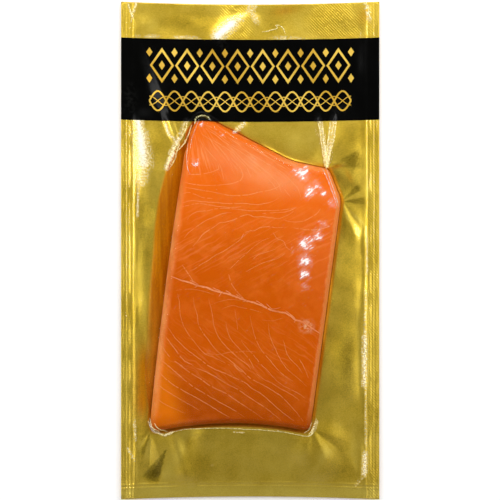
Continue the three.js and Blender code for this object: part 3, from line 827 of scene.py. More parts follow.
def upper_face(spokes):
    """Distances and heights over the salmon, from the hub out to just inside its edge."""
    inner = [-(DEEPEST_INSET + spokes.reach * (1 - share)) for share in steps(FACE_RINGS)]
    span = DEEPEST_INSET - LAST_RING
    rim = [-span * (1 - share) ** 1.35 - LAST_RING for share in steps(FACE_RINGS - 6)]
    distance = columns(spokes, inner + rim)
    height = SALMON_BASE + salmon_top(spokes.spots(distance)[..., 1], -distance)
    return distance, height


def flesh_relief(x, y):
    """The slight unevenness of the cut face."""
    return 0.12 * waves(x, y, 19, 5) + 0.05 * waves(x, y, 7, 6) - 0.16


def make_salmon(spokes):
    distance, height = upper_face(spokes)
    height = height + flesh_relief(*plan(spokes.spots(distance)))
    waist = SALMON_BASE + column(salmon_top(spokes.rim[:, 1], 0))
    shares = np.array([0] + steps(10, 0, 0.96))[None, :]
    side = -UNDERCUT * (1 - np.sqrt(1 - shares**2)) + np.zeros_like(waist)
    side_height = SALMON_BASE + (waist - SALMON_BASE) * (1 - shares)
    foot = columns(spokes, [-UNDERCUT * 1.1, -UNDERCUT * 2, -DEEPEST_INSET])
    all_distances = np.concatenate([distance, side, foot], axis=1)
    heights = np.concatenate([height, side_height, foot * 0 + SALMON_BASE], axis=1)
    rings = with_height(spokes.spots(all_distances), heights)
    top = SALMON_BASE + salmon_top(HUB[1], CROWN_REACH) + flesh_relief(*HUB)
    marks = {"inset": np.minimum(-all_distances, 20)}
    return ring_skin("salmon", rings, (*HUB, top), (*HUB, SALMON_BASE), marks)


def flange_rows(spokes):
    """Ring distances from the film's landing out to the pouch's edge."""
    rows = [spokes.landing]
    rows += [spokes.landing + (spokes.ridge - spokes.landing) * share for share in steps(12)]
    rows += [spokes.ridge + spokes.flange * share for share in steps(FLANGE_RINGS)]
    rows += [spokes.ridge + spokes.flange + spokes.seal * share for share in steps(14)]
    return rows


def amber_reflection_share(spokes, distance):
    """How far the painted reflection of the salmon reaches in the foil: wide and sharp on the left.
    """
    x, y = plan(spokes.rim)
    left = smooth(-24, -36, x) * smooth(66, 58, y) * smooth(-104, -70, y)
    wide = from_table(y, LEFT_DISH_WIDTHS)
    soft = np.interp(y, (-60, -20, 30), (6.0, 3.0, 0.9))
    past = (distance - column(wide)) / column(soft)
    strength = left * np.interp(y, (-95, -60, -20), (0.1, 0.5, 1.0))
    right = (1 - left) * (0.15 + 0.75 * smooth(50, 47, y) - 0.45 * smooth(-96, -99, y))
    near = smooth(2.8, 1.6, distance) * column(right)
    return np.maximum(column(strength) * smooth(0.5, -0.5, past), near)


def shared_relief(spokes, distance, x, y):
    """The relief of the back sheet and the film, which starts a little out from the salmon."""
    return smooth(0.2, 1.1, distance / column(spokes.ridge)) * sheet_relief(x, y)


def make_sheet(spokes):
    rows = [-UNDERCUT * 4, -UNDERCUT]
    rows += [spokes.landing * share for share in (0, 0.25, 0.5, 0.75)]
    distance = columns(spokes, rows + flange_rows(spokes))
    spots = spokes.spots(distance)
    x, y = plan(spots)
    height = sheet_top(spokes, distance) + shared_relief(spokes, distance, x, y)
    rings = with_height(spots, height)
    # The salmon's colour in the foil, painted as its reflection beside it
    amber = np.maximum(amber_reflection_share(spokes, distance), patches(x, y, AMBER_SPOTS))
    # Painted sheen and painted shade for the foil's colour
    shade = patches(x, y, SHEEN_AND_SHADE_PATCHES) + wedges(x, y, SHEEN_AND_SHADE_WEDGES)
    under = rings.copy()
    under[..., 2] = np.maximum(height - SHEET, 0)
    rings = np.concatenate([rings, under[:, ::-1]], axis=1)
    marks = {
        "amber": np.concatenate([amber, amber * 0], axis=1),
        "shade": np.concatenate([shade, shade * 0], axis=1),
    }
    return ring_skin("gold_foil_sheet", rings, (*HUB, SHEET), (*HUB, 0), marks)


def make_film(spokes):
    over, over_height = thicken(*upper_face(spokes), GAP * 2)
    over_height = over_height + 0.03 * waves(*plan(spokes.spots(over)), 11, 33) - 0.1
    land = columns(spokes, flange_rows(spokes))
    land_height = sheet_top(spokes, land) + GAP
    shares = np.array(steps(9, 0.1, 0.93))[None, :]
    top, foot = over_height[:, -1:], land_height[:, :1]
    wall = GAP * 2 + (column(spokes.landing) - GAP * 2) * shares**2
    wall_height = top + (foot - top) * shares
    distance = np.concatenate([over, wall, land], axis=1)
    height = np.concatenate([over_height, wall_height, land_height], axis=1)
    spots = spokes.spots(distance)
    x, y = plan(spots)
    height = height + shared_relief(spokes, distance, x, y)
    height = height + smooth(-3, 1.5, distance) * film_relief(x, y)
    rings = with_height(spots, height)
    steep = smooth(-4, -1.5, distance) * smooth(0.6, 0, distance - column(spokes.landing))
    marks = {
        # Where the film gets painted glints and painted highlights
        "pucker": near_spots(x, y, PAINTED_GLINTS),
        "hot": strokes(x, y, PAINTED_HIGHLIGHTS),
        "steep": np.maximum(steep, amber_reflection_share(spokes, distance)),
    }
    return ring_skin("clear_film", rings, (*HUB, over_height[:, 0].mean()), None, marks)


def height_above(piece):
    """A function that gives the height of a piece's upper face over points, in mm."""
    tree = BVHTree.FromObject(piece, bpy.context.evaluated_depsgraph_get())
    down = Vector((0, 0, -1))

    def height(x, y):
        hit = tree.ray_cast(Vector((x * MM, y * MM, 1)), down)[0]
        return hit.z / MM if hit else SEAL_HEIGHT
    return height


def make_print(film_height):
    """The black layer on the film, cut to the band."""
    across, up = BAND_CELLS
    vertices = []
    for j in range(up + 1):
        for i in range(across + 1):
            x = POUCH_WIDTH * (i / across - 0.5)
            bow = BAND_BOW * (1 - (2 * x / POUCH_WIDTH) ** 2)
            y = BAND_LOW + (BAND_HIGH - BAND_LOW) * j / up - bow
            held_in = x * (1 - 1e-4)
            vertices.append((x * MM, y * MM, (film_height(held_in, y) + PRINT_LIFT) * MM))
    row = across + 1
    faces = [
        (j * row + i, j * row + i + 1, (j + 1) * row + i + 1, (j + 1) * row + i)
        for j in range(up)
        for i in range(across)
    ]
    return new_piece("black_print", vertices, faces)


# Node trees

class Value:
    """A number on a node's socket, with the arithmetic that the node trees are written in."""

    def __init__(self, graph, socket):
        self.graph = graph
        self.socket = socket

    def math(self, operation, *others):
        inputs = {0: self}
        inputs.update({k + 1: other for k, other in enumerate(others)})
        node = self.graph.node("ShaderNodeMath", {"operation": operation}, inputs)
        return Value(self.graph, node.outputs[0])

    def __add__(self, other):
        return self.math("ADD", other)

    __radd__ = __add__

    def __mul__(self, other):
        return self.math("MULTIPLY", other)

    __rmul__ = __mul__

    def __sub__(self, other):
        return self.math("SUBTRACT", other)

    def __rsub__(self, other):
        return self * -1 + other

    def __truediv__(self, other):
        return self.math("DIVIDE", other)

    def __pow__(self, power):
        return self.math("POWER", power)

    def least(self, other):
        return self.math("MINIMUM", other)

    def most(self, other):
        return self.math("MAXIMUM", other)

    def size(self):
        return self.math("ABSOLUTE")

    def sine(self):
        return self.math("SINE")

    def clamp(self):
        return self.least(1).most(0)

    def rise(self, low, high):
        """0 below low, 1 above high and smooth between them, or the other way round."""
        if low > high:
            return 1 - self.rise(high, low)
        settings = {"interpolation_type": "SMOOTHSTEP"}
        inputs = {"Value": self, "From Min": low, "From Max": high}
        node = self.graph.node("ShaderNodeMapRange", settings, inputs)
        return Value(self.graph, node.outputs["Result"])

    def near(self, centre, width):
        """1 at the centre, falling to 0 at the width either side."""
        return (self - centre).size().rise(width, 0)


class Graph:
    """A node tree under construction."""

    def __init__(self, tree):
        self.tree = tree

    def node(self, kind, settings=None, inputs=None):
        """A node with its settings made first, then each input's value or link."""
        node = self.tree.nodes.new(kind)
        for name, value in (settings or {}).items():
            setattr(node, name, value)
        for name, value in (inputs or {}).items():
            self.fill(node.inputs[name], value)
        return node

    def fill(self, socket, value):
        if isinstance(value, list):
            for part in value:
                self.tree.links.new(part, socket)
        elif isinstance(value, Value):
            self.tree.links.new(value.socket, socket)
        elif isinstance(value, bpy.types.NodeSocket):
            self.tree.links.new(value, socket)
        elif socket.type == "RGBA" and len(value) == 3:
            socket.default_value = (*value, 1)
        else:
            socket.default_value = value

    def vector(self, x, y, z):
        return self.node("ShaderNodeCombineXYZ", None, {0: x, 1: y, 2: z}).outputs[0]

    def parts(self, vector):
        outputs = self.node("ShaderNodeSeparateXYZ", None, {0: vector}).outputs
        return [Value(self, output) for output in outputs]

    def vector_math(self, operation, first, second):
        inputs = {0: first, 1: second}
        return self.node("ShaderNodeVectorMath", {"operation": operation}, inputs).outputs[0]

    def scaled(self, vector, amount):
        settings = {"operation": "SCALE"}
        return self.node("ShaderNodeVectorMath", settings, {0: vector, "Scale": amount}).outputs[0]

    def noise(self, place, scale, detail=2.0, roughness=0.5):
        inputs = {"Vector": place, "Scale": scale, "Detail": detail, "Roughness": roughness}
        return Value(self, self.node("ShaderNodeTexNoise", None, inputs).outputs[0])


class Finish(Graph):
    """A material or the studio's surround, under construction."""

    def __init__(self, owner, output="ShaderNodeOutputMaterial"):
        self.owner = owner
        owner.use_nodes = True
        super().__init__(owner.node_tree)
        self.tree.nodes.clear()
        self.output = self.tree.nodes.new(output)

    def place(self):
        """The point on the piece in mm, as a vector socket and its X, Y and Z."""
        coordinates = self.node("ShaderNodeTexCoord").outputs["Object"]
        scaled = self.scaled(coordinates, 1 / MM)
        return scaled, *self.parts(scaled)

    def mark(self, name):
        """A number that the mesh carries at its points."""
        node = self.node("ShaderNodeAttribute", {"attribute_name": name})
        return Value(self, node.outputs["Fac"])

    def mix(self, amount, first, second):
        node = self.node("ShaderNodeMix", {"data_type": "RGBA"})
        self.fill(node.inputs[0], amount)
        self.fill(node.inputs[6], first)
        self.fill(node.inputs[7], second)
        return node.outputs[2]

    def coats(self, colour, *coats):
        """A colour with others laid over it in turn, each given as its amount and colour."""
        for amount, coat in coats:
            colour = self.mix(amount, colour, coat)
        return colour

    def bump(self, height, distance, over=None):
        """The shading normal for a height from 0 to 1 that stands for a distance in mm."""
        inputs = {"Height": height, "Distance": distance * MM, "Strength": 1.0}
        if over:
            inputs["Normal"] = over
        return self.node("ShaderNodeBump", None, inputs).outputs[0]

    def surface(self, inputs):
        return self.node("ShaderNodeBsdfPrincipled", None, inputs).outputs[0]

    def finish(self, shader):
        self.tree.links.new(shader, self.output.inputs[0])
        return self.owner


class Shaping(Graph):
    """A Geometry Nodes tree with named inputs, each a kind of socket and its value."""

    def __init__(self, name, inputs):
        super().__init__(bpy.data.node_groups.new(name, "GeometryNodeTree"))
        self.name = name
        self.inputs = inputs
        sides = self.tree.interface
        sides.new_socket("Geometry", in_out="INPUT", socket_type="NodeSocketGeometry")
        for label, (kind, _) in inputs.items():
            sides.new_socket(label, in_out="INPUT", socket_type="NodeSocket" + kind)
        sides.new_socket("Geometry", in_out="OUTPUT", socket_type="NodeSocketGeometry")
        self.given = self.tree.nodes.new("NodeGroupInput").outputs

    def step(self, kind, settings=None, inputs=None):
        return self.node("GeometryNode" + kind, settings, inputs).outputs[0]

    def number(self, label):
        return Value(self, self.given[label])

    def position(self):
        return self.step("InputPosition")

    def resampled(self, curve, length):
        """A curve with points set evenly along it, a length in mm apart."""
        inputs = {"Curve": curve, "Length": length * MM}
        return self.step("ResampleCurve", {"mode": "LENGTH"}, inputs)

    def shifted(self, curve, offset):
        """A curve moved by an offset, with its normals square to the part's upright."""
        curve = self.step("SetPosition", None, {"Geometry": curve, "Offset": offset})
        return self.step("SetCurveNormal", {"mode": "Z_UP"}, {0: curve})

    def ribbon_profile(self, width):
        """A short line across a curve, which makes it a flat ribbon."""
        inputs = {"Start": (-width / 2 * MM, 0, 0), "End": (width / 2 * MM, 0, 0)}
        return self.step("CurvePrimitiveLine", None, inputs)

    def laid(self, geometry, lift):
        """The geometry moved up or down until its own zero lies just over the ground."""
        above = self.vector_math("ADD", self.position(), (0, 0, 1))
        ground = self.node("GeometryNodeObjectInfo", None, {0: self.given["Ground"]})
        ray = self.node("GeometryNodeRaycast", None, {
            "Target Geometry": ground.outputs["Geometry"],
            "Source Position": above,
            "Ray Direction": (0, 0, -1),
            "Ray Length": 2.0,
        })
        height = self.parts(ray.outputs["Hit Position"])[2] + lift
        inputs = {"Geometry": geometry, "Offset": self.vector(0, 0, height)}
        return self.step("SetPosition", None, inputs)

    def run(self, geometry, start):
        """The geometry as a piece with a plain mesh, from a start mesh."""
        whole = self.step("RealizeInstances", None, {0: geometry})
        whole = self.step("SetShadeSmooth", None, {0: whole})
        whole = self.step("SetMaterial", None, {0: whole, "Material": self.given["Material"]})
        output = self.tree.nodes.new("NodeGroupOutput")
        self.tree.links.new(whole, output.inputs[0])
        piece = new_object(self.name, start)
        modifier = piece.modifiers.new("shaping", "NODES")
        modifier.node_group = self.tree
        for item in self.tree.interface.items_tree:
            if item.in_out == "INPUT" and item.name in self.inputs:
                modifier[item.identifier] = self.inputs[item.name][1]
        shaped = bpy.data.meshes.new_from_object(
            piece.evaluated_get(bpy.context.evaluated_depsgraph_get())
        )
        piece.modifiers.clear()
        piece.data = shaped
        return piece


# Lines and print laid on the meshes

def path_mesh(name, paths):
    """Edges along paths, each a width and its points, with the widths kept at the points."""
    vertices, edges, widths = [], [], []
    for width, *points in paths:
        first = len(vertices)
        vertices += [(x * MM, y * MM, 0) for x, y in points]
        edges += [(k, k + 1) for k in range(first, len(vertices) - 1)]
        widths += [width] * len(points)
    mesh = bpy.data.meshes.new(name)
    mesh.from_pydata(vertices, edges, [])
    mesh.attributes.new("wide", "FLOAT", "POINT").data.foreach_set("value", widths)
    return mesh


LINE_STEP = 0.45


def laid_lines(name, paths, ground, material, lift, wander, tube):
    """Thin lines or tubes along paths, laid on the face of another piece."""
    g = Shaping(name, {
        "Ground": ("Object", ground),
        "Lift": ("Float", lift * MM),
        "Wander": ("Float", wander * MM),
        "Seed": ("Float", 4.0),
        "Material": ("Material", material),
    })
    curve = g.step("MeshToCurve", None, {0: g.given["Geometry"]})
    curve = g.step("CurveSplineType", {"spline_type": "CATMULL_ROM"}, {0: curve})
    curve = g.resampled(curve, LINE_STEP)
    place = g.scaled(g.position(), 1 / MM)
    inputs = {"Vector": place, "Scale": 0.45, "Detail": 2.0, "W": g.given["Seed"]}
    cloud = g.node("ShaderNodeTexNoise", {"noise_dimensions": "4D"}, inputs).outputs["Color"]
    centred = g.vector_math("SUBTRACT", cloud, (0.5,) * 3)
    curve = g.shifted(curve, g.scaled(centred, g.given["Wander"]))
    along = Value(g, g.step("SplineParameter"))
    taper = (along.least(1 - along) * 9).clamp() * 0.65 + 0.35
    wide = Value(g, g.step("InputNamedAttribute", {"data_type": "FLOAT"}, {"Name": "wide"}))
    width = wide * taper * (g.noise(place, 0.7) * 0.9 + 0.5)
    if tube:
        profile = g.step("CurvePrimitiveCircle", None, {"Resolution": 8, "Radius": 0.5 * MM})
    else:
        profile = g.ribbon_profile(1.0)
    inputs = {"Curve": curve, "Profile Curve": profile, "Scale": width, "Fill Caps": tube}
    lines = g.step("CurveToMesh", None, inputs)
    return g.run(g.laid(lines, g.number("Lift")), path_mesh(name, paths))


ORNAMENT_WIDTH = 117.0
ORNAMENT_LIFT = 0.05
LOZENGES = 8
LOZENGE_Y = 108.2
LOZENGE_HEIGHT = 20.6
LOZENGE_STROKE = 2.3
LOZENGE_GAP = 0.6
SMALL_LOZENGE = (3.6, 5.4)
SMALL_RISE = 7.6
WAVE_Y = 87.6
WAVES = 12
WAVE_STEP = 0.5
PLAIT = (
    # where in its turn each wave starts, how far it swings, and its stroke
    (0, 5.6, 1.0),
    (math.pi, 5.6, 1.0),
    (math.pi / 2, 2.6, 0.5),
    (-math.pi / 2, 2.6, 0.5),
)


def make_ornament(ground, material):
    """The gold print on the black band: a row of lozenges over a plait of waves."""
    g = Shaping("gold_print", {
        "Ground": ("Object", ground),
        "Lift": ("Float", ORNAMENT_LIFT * MM),
        "Count": ("Int", LOZENGES),
        "Material": ("Material", material),
    })
    pitch = ORNAMENT_WIDTH / LOZENGES
    slant = LOZENGE_HEIGHT / pitch

    def lozenge(width, height):
        half = height / 2 * MM
        inputs = {"Width": width * MM, "Bottom Height": half, "Top Height": half}
        return g.step("CurvePrimitiveQuadrilateral", {"mode": "KITE"}, inputs)

    def filled(curves):
        joined = g.step("JoinGeometry", None, {0: curves})
        flat = g.step("FillCurve", None, {0: joined})
        return g.step("SubdivideMesh", None, {0: flat, "Level": 3})

    def row(shape, count, start, height):
        line = g.step("MeshLine", None, {
            "Count": count,
            "Start Location": (start * MM, height * MM, 0),
            "Offset": (pitch * MM, 0, 0),
        })
        return g.step("InstanceOnPoints", None, {"Points": line, "Instance": shape})

    def wave(phase, swing, stroke):
        half = ORNAMENT_WIDTH / 2
        inputs = {"Start": (-half * MM, WAVE_Y * MM, 0), "End": (half * MM, WAVE_Y * MM, 0)}
        line = g.resampled(g.step("CurvePrimitiveLine", None, inputs), WAVE_STEP)
        turn = g.parts(g.position())[0] * (math.pi * WAVES / ORNAMENT_WIDTH / MM) + phase
        line = g.shifted(line, g.vector(0, turn.sine() * swing * MM, 0))
        inputs = {"Curve": line, "Profile Curve": g.ribbon_profile(stroke)}
        return g.step("CurveToMesh", None, inputs)

    first = -ORNAMENT_WIDTH / 2 + pitch / 2
    between = first - pitch / 2
    wide = pitch - LOZENGE_GAP
    inner_wide = wide - LOZENGE_STROKE * 1.25
    big = filled([lozenge(wide, LOZENGE_HEIGHT), lozenge(inner_wide, inner_wide * slant)])
    small = filled([lozenge(*SMALL_LOZENGE)])
    count = g.given["Count"]
    parts = [row(big, count, first, LOZENGE_Y), row(small, count, first, LOZENGE_Y)]
    for some, start in ((count, between), (1, between + ORNAMENT_WIDTH)):
        for rise in (SMALL_RISE, -SMALL_RISE):
            parts.append(row(small, some, start, LOZENGE_Y + rise))
    parts += [wave(*turn) for turn in PLAIT]
    whole = g.step("JoinGeometry", None, {0: parts})
    whole = g.step("RealizeInstances", None, {0: whole})
    x = g.parts(g.position())[0] / (POUCH_WIDTH / 2 * MM)
    drop = g.vector(0, (x * x - 1) * BAND_BOW * MM, 0)
    whole = g.step("SetPosition", None, {"Geometry": whole, "Offset": drop})
    return g.run(g.laid(whole, g.number("Lift")), bpy.data.meshes.new("gold_print"))


# Finishes

def painted(name):
    """A new material's finish, with the point on the piece in mm and its X, Y and Z."""
    f = Finish(bpy.data.materials.new(name))
    return f, *f.place()


def seal_lines(f, place, x, y):
    """Height of the lines pressed into the seals and beside them, from 0 to 1."""
    side = x.size() * -1 + POUCH_WIDTH / 2 + (f.noise(place, 0.12) - 0.5) * 0.5
    patchy = f.noise(place, 0.07, 3).rise(0.35, 0.6)
    lines = side.near(5.2, 0.7) * patchy + side.near(6.9, 0.5) * -0.6 + side.near(3.4, 0.5) * 0.4
    lines = lines + side.near(1.6, 0.6) * 0.4 * patchy
    bow = (x * x * -1 / (POUCH_WIDTH / 2) ** 2 + 1) * END_BOW
    end = y - (POUCH_LENGTH / -2) - bow
    return lines + (end.near(6.2, 0.9) + end.near(8.2, 1.1)) * 0.45


def gold_foil():
    f, place, x, y, _ = painted("gold_foil")
    cloud = f.noise(place, 0.035, 2)
    patch = f.noise(place, 0.09, 3, 0.6)
    grain = f.noise(place, 1.3, 3, 0.75)
    speck = f.noise(place, 3.0, 2, 0.7)
    # Slanting ribs pressed into parts of the upper end and, fainter, into the side seals
    ribs = ((x + y) * 3.6 + f.noise(place, 0.3) * 2).sine() * 0.5 + 0.5
    ribbed = (x.near(-9, 16) + x.near(50, 24)).clamp() * y.rise(120, 125)
    seal = x.size().rise(68.2, 69.2)
    pressed = f.bump(ribs * (ribbed + seal * 0.35) * f.noise(place, 0.4).rise(0.3, 0.6), 0.16)
    fine = f.bump(grain * 0.6 + speck * 0.4, 0.085, pressed)
    normal = f.bump(seal_lines(f, place, x, y), 0.16, fine)
    gold = f.mix(cloud.rise(0.3, 0.7), (0.73, 0.485, 0.036), (0.83, 0.575, 0.06))
    # Painted sheen and painted shade from the sheet's patches and wedges, with uneven tone and a
    # fine grain
    rough = (0.5 - grain) * 1.2 + (0.5 - speck) * 1.0
    # A painted shade line along each side seal's crease, fading out towards the top
    painted_crease_shade = (x.size() - 68.1).size().rise(0.5, 0) * y.rise(128, 100) * 0.3
    shade = f.mark("shade") + (0.5 - patch) * 0.9 + rough + painted_crease_shade - 0.05
    dark, light = (0.20, 0.135, 0.006), (1.0, 0.76, 0.12)
    gold = f.coats(gold, (shade.clamp(), dark), ((shade * -1).clamp(), light))
    # The salmon's colour in the foil beside it, a painted reflection with a faint painted glow
    amber = (f.mark("amber") * (0.85 + grain * 0.3)).clamp()
    drawn_out = f.vector_math("MULTIPLY", place, (0.5, 0.03, 0.1))
    streak = f.noise(drawn_out, 1.0, 3) + (grain - 0.5) * 0.7 + (speck - 0.5) * 0.5
    deep = f.mix(streak.rise(0.3, 0.7), (0.42, 0.125, 0.0004), (0.60, 0.225, 0.0015))
    return f.finish(f.surface({
        "Base Color": f.mix(amber, gold, deep),
        "Metallic": 1 - amber * 0.6,
        "Roughness": 0.3 + grain * 0.1,
        "Specular IOR Level": 0.1,
        "Emission Color": f.mix(amber, (0.0, 0.0, 0.0), deep),
        "Emission Strength": 0.1,
        "Normal": normal,
    }))


FAN_CENTRE = (-34, 82)


def flesh_colour(f, place, x, y):
    """Deep orange and darker towards the thick lower end, partly painted shade, paler towards the
    thin tip, with a paler sweep across that is a painted sheen of the film, and fine streaks that
    fan out from the tip."""
    mottle = f.noise(place, 0.13, 4, 0.6)
    cloud = f.noise(place, 0.05, 3) - 0.5
    tall = y + x * 0.12
    # Darker towards the lower end: partly the flesh's own colour, partly painted shade
    low = f.mix(tall.rise(-108, -60), (0.40, 0.064, 0.0002), (0.60, 0.098, 0.0005))
    plain = f.mix(tall.rise(-30, 55), low, (0.86, 0.155, 0.005))
    right = x.rise(14, 34) * y.near(0, 45)
    slant = y + x * 0.54 + cloud * 26
    # A paler peach sweep over the upper part, a painted sheen of the film
    painted_film_sheen = slant.near(48, 17) * x.rise(-40, -16) * y.rise(26, 42) * y.rise(68, 50)
    beside, above = x - FAN_CENTRE[0], y - FAN_CENTRE[1]
    away = (beside * beside + above * above) ** 0.5
    bend = above.math("ARCTAN2", beside) * 34 + f.noise(place, 0.09, 2) * 2.4
    fan = f.noise(f.vector(bend, away * 0.05, 0), 1.0, 3, 0.65).rise(0.5, 0.64)
    fan = fan * away.rise(8, 22) * y.rise(36, 52)
    strong = x.near(-16, 20) * y.near(48, 13) + x.near(30, 16) * slant.near(72, 9)
    across = f.vector((y * 0.87 - x * 0.48) * 0.6 + cloud * 3, (x * 0.87 + y * 0.48) * 0.045, 0)
    fine = f.noise(across, 1.0, 2, 0.6).rise(0.53, 0.63) * y.near(4, 34)
    down = f.vector((y * 0.8 + x * 0.6) * 0.8 + cloud * 8, (x * 0.8 - y * 0.6) * 0.04, 0)
    low_fine = f.noise(down, 1.0, 2, 0.6).rise(0.53, 0.63) * y.near(-62, 36)
    warm = (x + y * 0.25).rise(-56, -70) * y.rise(-30, -60) * y.rise(-108, -92)
    return f.coats(
        plain,
        (right * 0.3, (0.80, 0.16, 0.03)),
        (painted_film_sheen * 0.8, (0.93, 0.30, 0.105)),
        (fan * 0.42, (0.96, 0.40, 0.16)),
        (strong.clamp() * 0.5, (0.83, 0.125, 0.003)),
        (fine.most(low_fine * 0.6) * 0.28, (0.90, 0.27, 0.08)),
        (warm * 0.75, (0.84, 0.20, 0.003)),
        (mottle.rise(0.42, 0.72) * (0.16 + y.rise(-50, 0) * 0.18), (0.84, 0.195, 0.026)),
    )


def salmon_flesh():
    f, place, x, y, _ = painted("salmon_flesh")
    inset = f.mark("inset") + (f.noise(place, 0.25, 3) - 0.5) * 2.4
    uneven = f.noise(place, 0.08, 3).rise(0.3, 0.62)
    # A pale painted highlight along the salmon's rounded left and right edges, patchy on the left
    rim = inset.rise(5.6, 1.2) * x.rise(-20, -34) * y.rise(60, 10) * (0.3 + uneven * 0.5)
    rim = rim.most(inset.rise(3.4, 2.0) * x.rise(10, 24) * 0.45) * y.rise(-103, -85)
    smear = x.near(32.4, 6) * y.near(-43.5, 5.5) * f.noise(place, 0.45, 3).rise(0.38, 0.6)
    flesh = flesh_colour(f, place, x, y)
    painted_rim_highlight, pale_fat_and_painted_highlight = (0.95, 0.345, 0.10), (0.84, 0.44, 0.24)
    return f.finish(f.surface({
        "Base Color": f.coats(flesh, (rim, painted_rim_highlight), (smear * 0.8, pale_fat_and_painted_highlight)),
        "Roughness": 0.45,
        "Subsurface Weight": 0.3,
        "Subsurface Radius": (1.0, 0.3, 0.08),
        "Subsurface Scale": 0.003,
        "Specular IOR Level": 0.03,
        "Normal": f.bump(f.noise(place, 0.5, 3), 0.05),
    }))


def salmon_fat(name, strength, colour):
    f, place, x, y, _ = painted(name)
    fade = f.noise(place, 0.09, 3).rise(0.3, 0.6) * 0.45 + 0.55
    cloud = f.noise(place, 0.6, 2).rise(0.25, 0.6) * 0.3 + 0.7
    lower = (y.rise(-105, -50) * 0.35 + 0.65) * (1 - y.near(-38, 32) * 0.4)
    flesh = flesh_colour(f, place, x, y)
    return f.finish(f.surface({
        "Base Color": f.mix(fade * cloud * lower * strength * 1.15, flesh, colour),
        "Roughness": 0.45,
        "Specular IOR Level": 0.03,
    }))


def see_through(f, normal, share, roughness, pale_fat_and_painted_highlight, tint):
    """Clear film: a share of the light is mirrored and the rest goes straight through, under
    painted highlights: pale, faintly glowing places that look bright from any side."""
    clear = f.node("ShaderNodeBsdfTransparent", None, {"Color": (1, 1, 1)}).outputs[0]
    gloss = f.surface({
        "Base Color": (1, 1, 1),
        "Metallic": 1.0,
        "Roughness": roughness,
        "Normal": normal,
    })
    film = f.node("ShaderNodeMixShader", None, {0: share, 1: clear, 2: gloss}).outputs[0]
    painted_highlight_shader = f.surface({
        "Base Color": tint,
        "Roughness": 0.4,
        "Emission Color": tint,
        "Emission Strength": 0.22,
        "Normal": normal,
    })
    return f.finish(f.node("ShaderNodeMixShader", None, {0: pale_fat_and_painted_highlight, 1: film, 2: painted_highlight_shader}).outputs[0])


def clear_film():
    f, place, x, y, z = painted("clear_film")
    fine = f.bump(f.noise(place, 0.8, 3, 0.6), 0.03)
    normal = f.bump(seal_lines(f, place, x, y), 0.16, fine)
    rim = f.node("ShaderNodeFresnel", None, {"IOR": 1.38, "Normal": normal}).outputs[0]
    over_fish = z.rise(7, 10)
    share = Value(f, rim).least(0.07) * (1 - over_fish * 0.7) * (1 - f.mark("steep") * 0.93)
    # Painted glints and a painted haze over the salmon, streaked by noise
    streaks = f.vector((x * 0.8 + y * 0.57) * 0.2, (x * -0.57 + y * 0.8) * 0.5, z * 0.1)
    glint_noise = f.noise(streaks, 1.0, 4, 0.65) - 0.5
    pucker = f.mark("pucker")
    glint = (pucker * 0.85 + glint_noise * 2.4).rise(0.48, 0.85) * pucker.rise(0.08, 0.3)
    painted_haze = (pucker * 0.9 + glint_noise * 1.6).rise(0.15, 0.9) * 0.24
    # Painted highlight strokes, whiter and smoother where they are strongest
    spark = f.noise(place, 1.1, 3, 0.75).rise(0.4, 0.6)
    hot = f.mark("hot")
    bright = hot.rise(0.4, 0.9)
    yellow = f.mix(bright, (1.0, 0.89, 0.45), (1.0, 0.97, 0.82))
    tint = f.mix(over_fish, yellow, (1.0, 0.97, 0.93))
    soft = hot * 1.15 - 0.15 + (spark - 0.5) * (0.8 - bright * 0.56)
    shine = soft.clamp() * hot.rise(0.04, 0.2)
    return see_through(f, normal, share, 0.06, (glint * 0.85).most(painted_haze).most(shine), tint)


def film_fold():
    f, place, _, y, z = painted("film_fold")
    normal = f.bump(f.noise(place, 1.1, 3, 0.6), 0.7)
    over_fish = z.rise(9, 12) * y.rise(-101, -90)
    # Painted highlights along the folds, yellow off the salmon and paler over it, patchy with a
    # crinkle noise
    crinkle = f.noise(place, 1.1, 3, 0.65).rise(0.45, 0.6)
    pale_fat_and_painted_highlight = crinkle * (0.72 - over_fish * 0.37) + 0.2 - over_fish * 0.15
    tint = f.mix(over_fish, (1.0, 0.91, 0.42), (1.0, 0.93, 0.88))
    return see_through(f, normal, 0.1, 0.12, pale_fat_and_painted_highlight, tint)


def gold_print():
    f, place, x, y, _ = painted("gold_print")
    sweep = (x * 0.13 + y * 0.1 + f.noise(place, 0.05, 2) * 4).sine() * 0.5 + 0.5
    grain = f.noise(place, 2.0, 3, 0.6)
    return f.finish(f.surface({
        "Base Color": f.mix(sweep, (0.72, 0.42, 0.035), (0.98, 0.66, 0.10)),
        "Metallic": 0.7,
        "Roughness": 0.36 + grain * 0.08,
        "Normal": f.bump(grain, 0.012),
    }))


def black_print():
    f, place, x, y, _ = painted("black_print")
    smudge = f.noise(place, 0.09, 3, 0.6)
    # A little greyer in three patchy places
    patchy = x.near(-70, 6) * y.near(88, 14) + x.near(-16, 5) * y.near(119.5, 6)
    patchy = (patchy + x.near(52, 7) * y.near(83, 6)).clamp() * f.noise(place, 0.5, 3).rise(0.4, 0.7)
    return f.finish(f.surface({
        "Base Color": f.mix(patchy * 0.15, (0.0015, 0.0015, 0.0013), (0.04, 0.04, 0.036)),
        "Specular IOR Level": 0.1,
        "Roughness": 0.13 + smudge * 0.12,
        "Normal": f.bump(f.noise(place, 0.7, 3, 0.6), 0.02),
    }))


def pale_floor():
    f, place, *_ = painted("pale_floor")
    tone = f.noise(place, 0.004, 2)
    colour = f.mix(tone.rise(0.3, 0.7), (0.93, 0.93, 0.925), (0.95, 0.95, 0.95))
    return f.finish(f.surface({
        "Base Color": colour,
        "Roughness": 0.8,
        "Emission Color": colour,
        "Emission Strength": 0.2,
    }))


# Studio

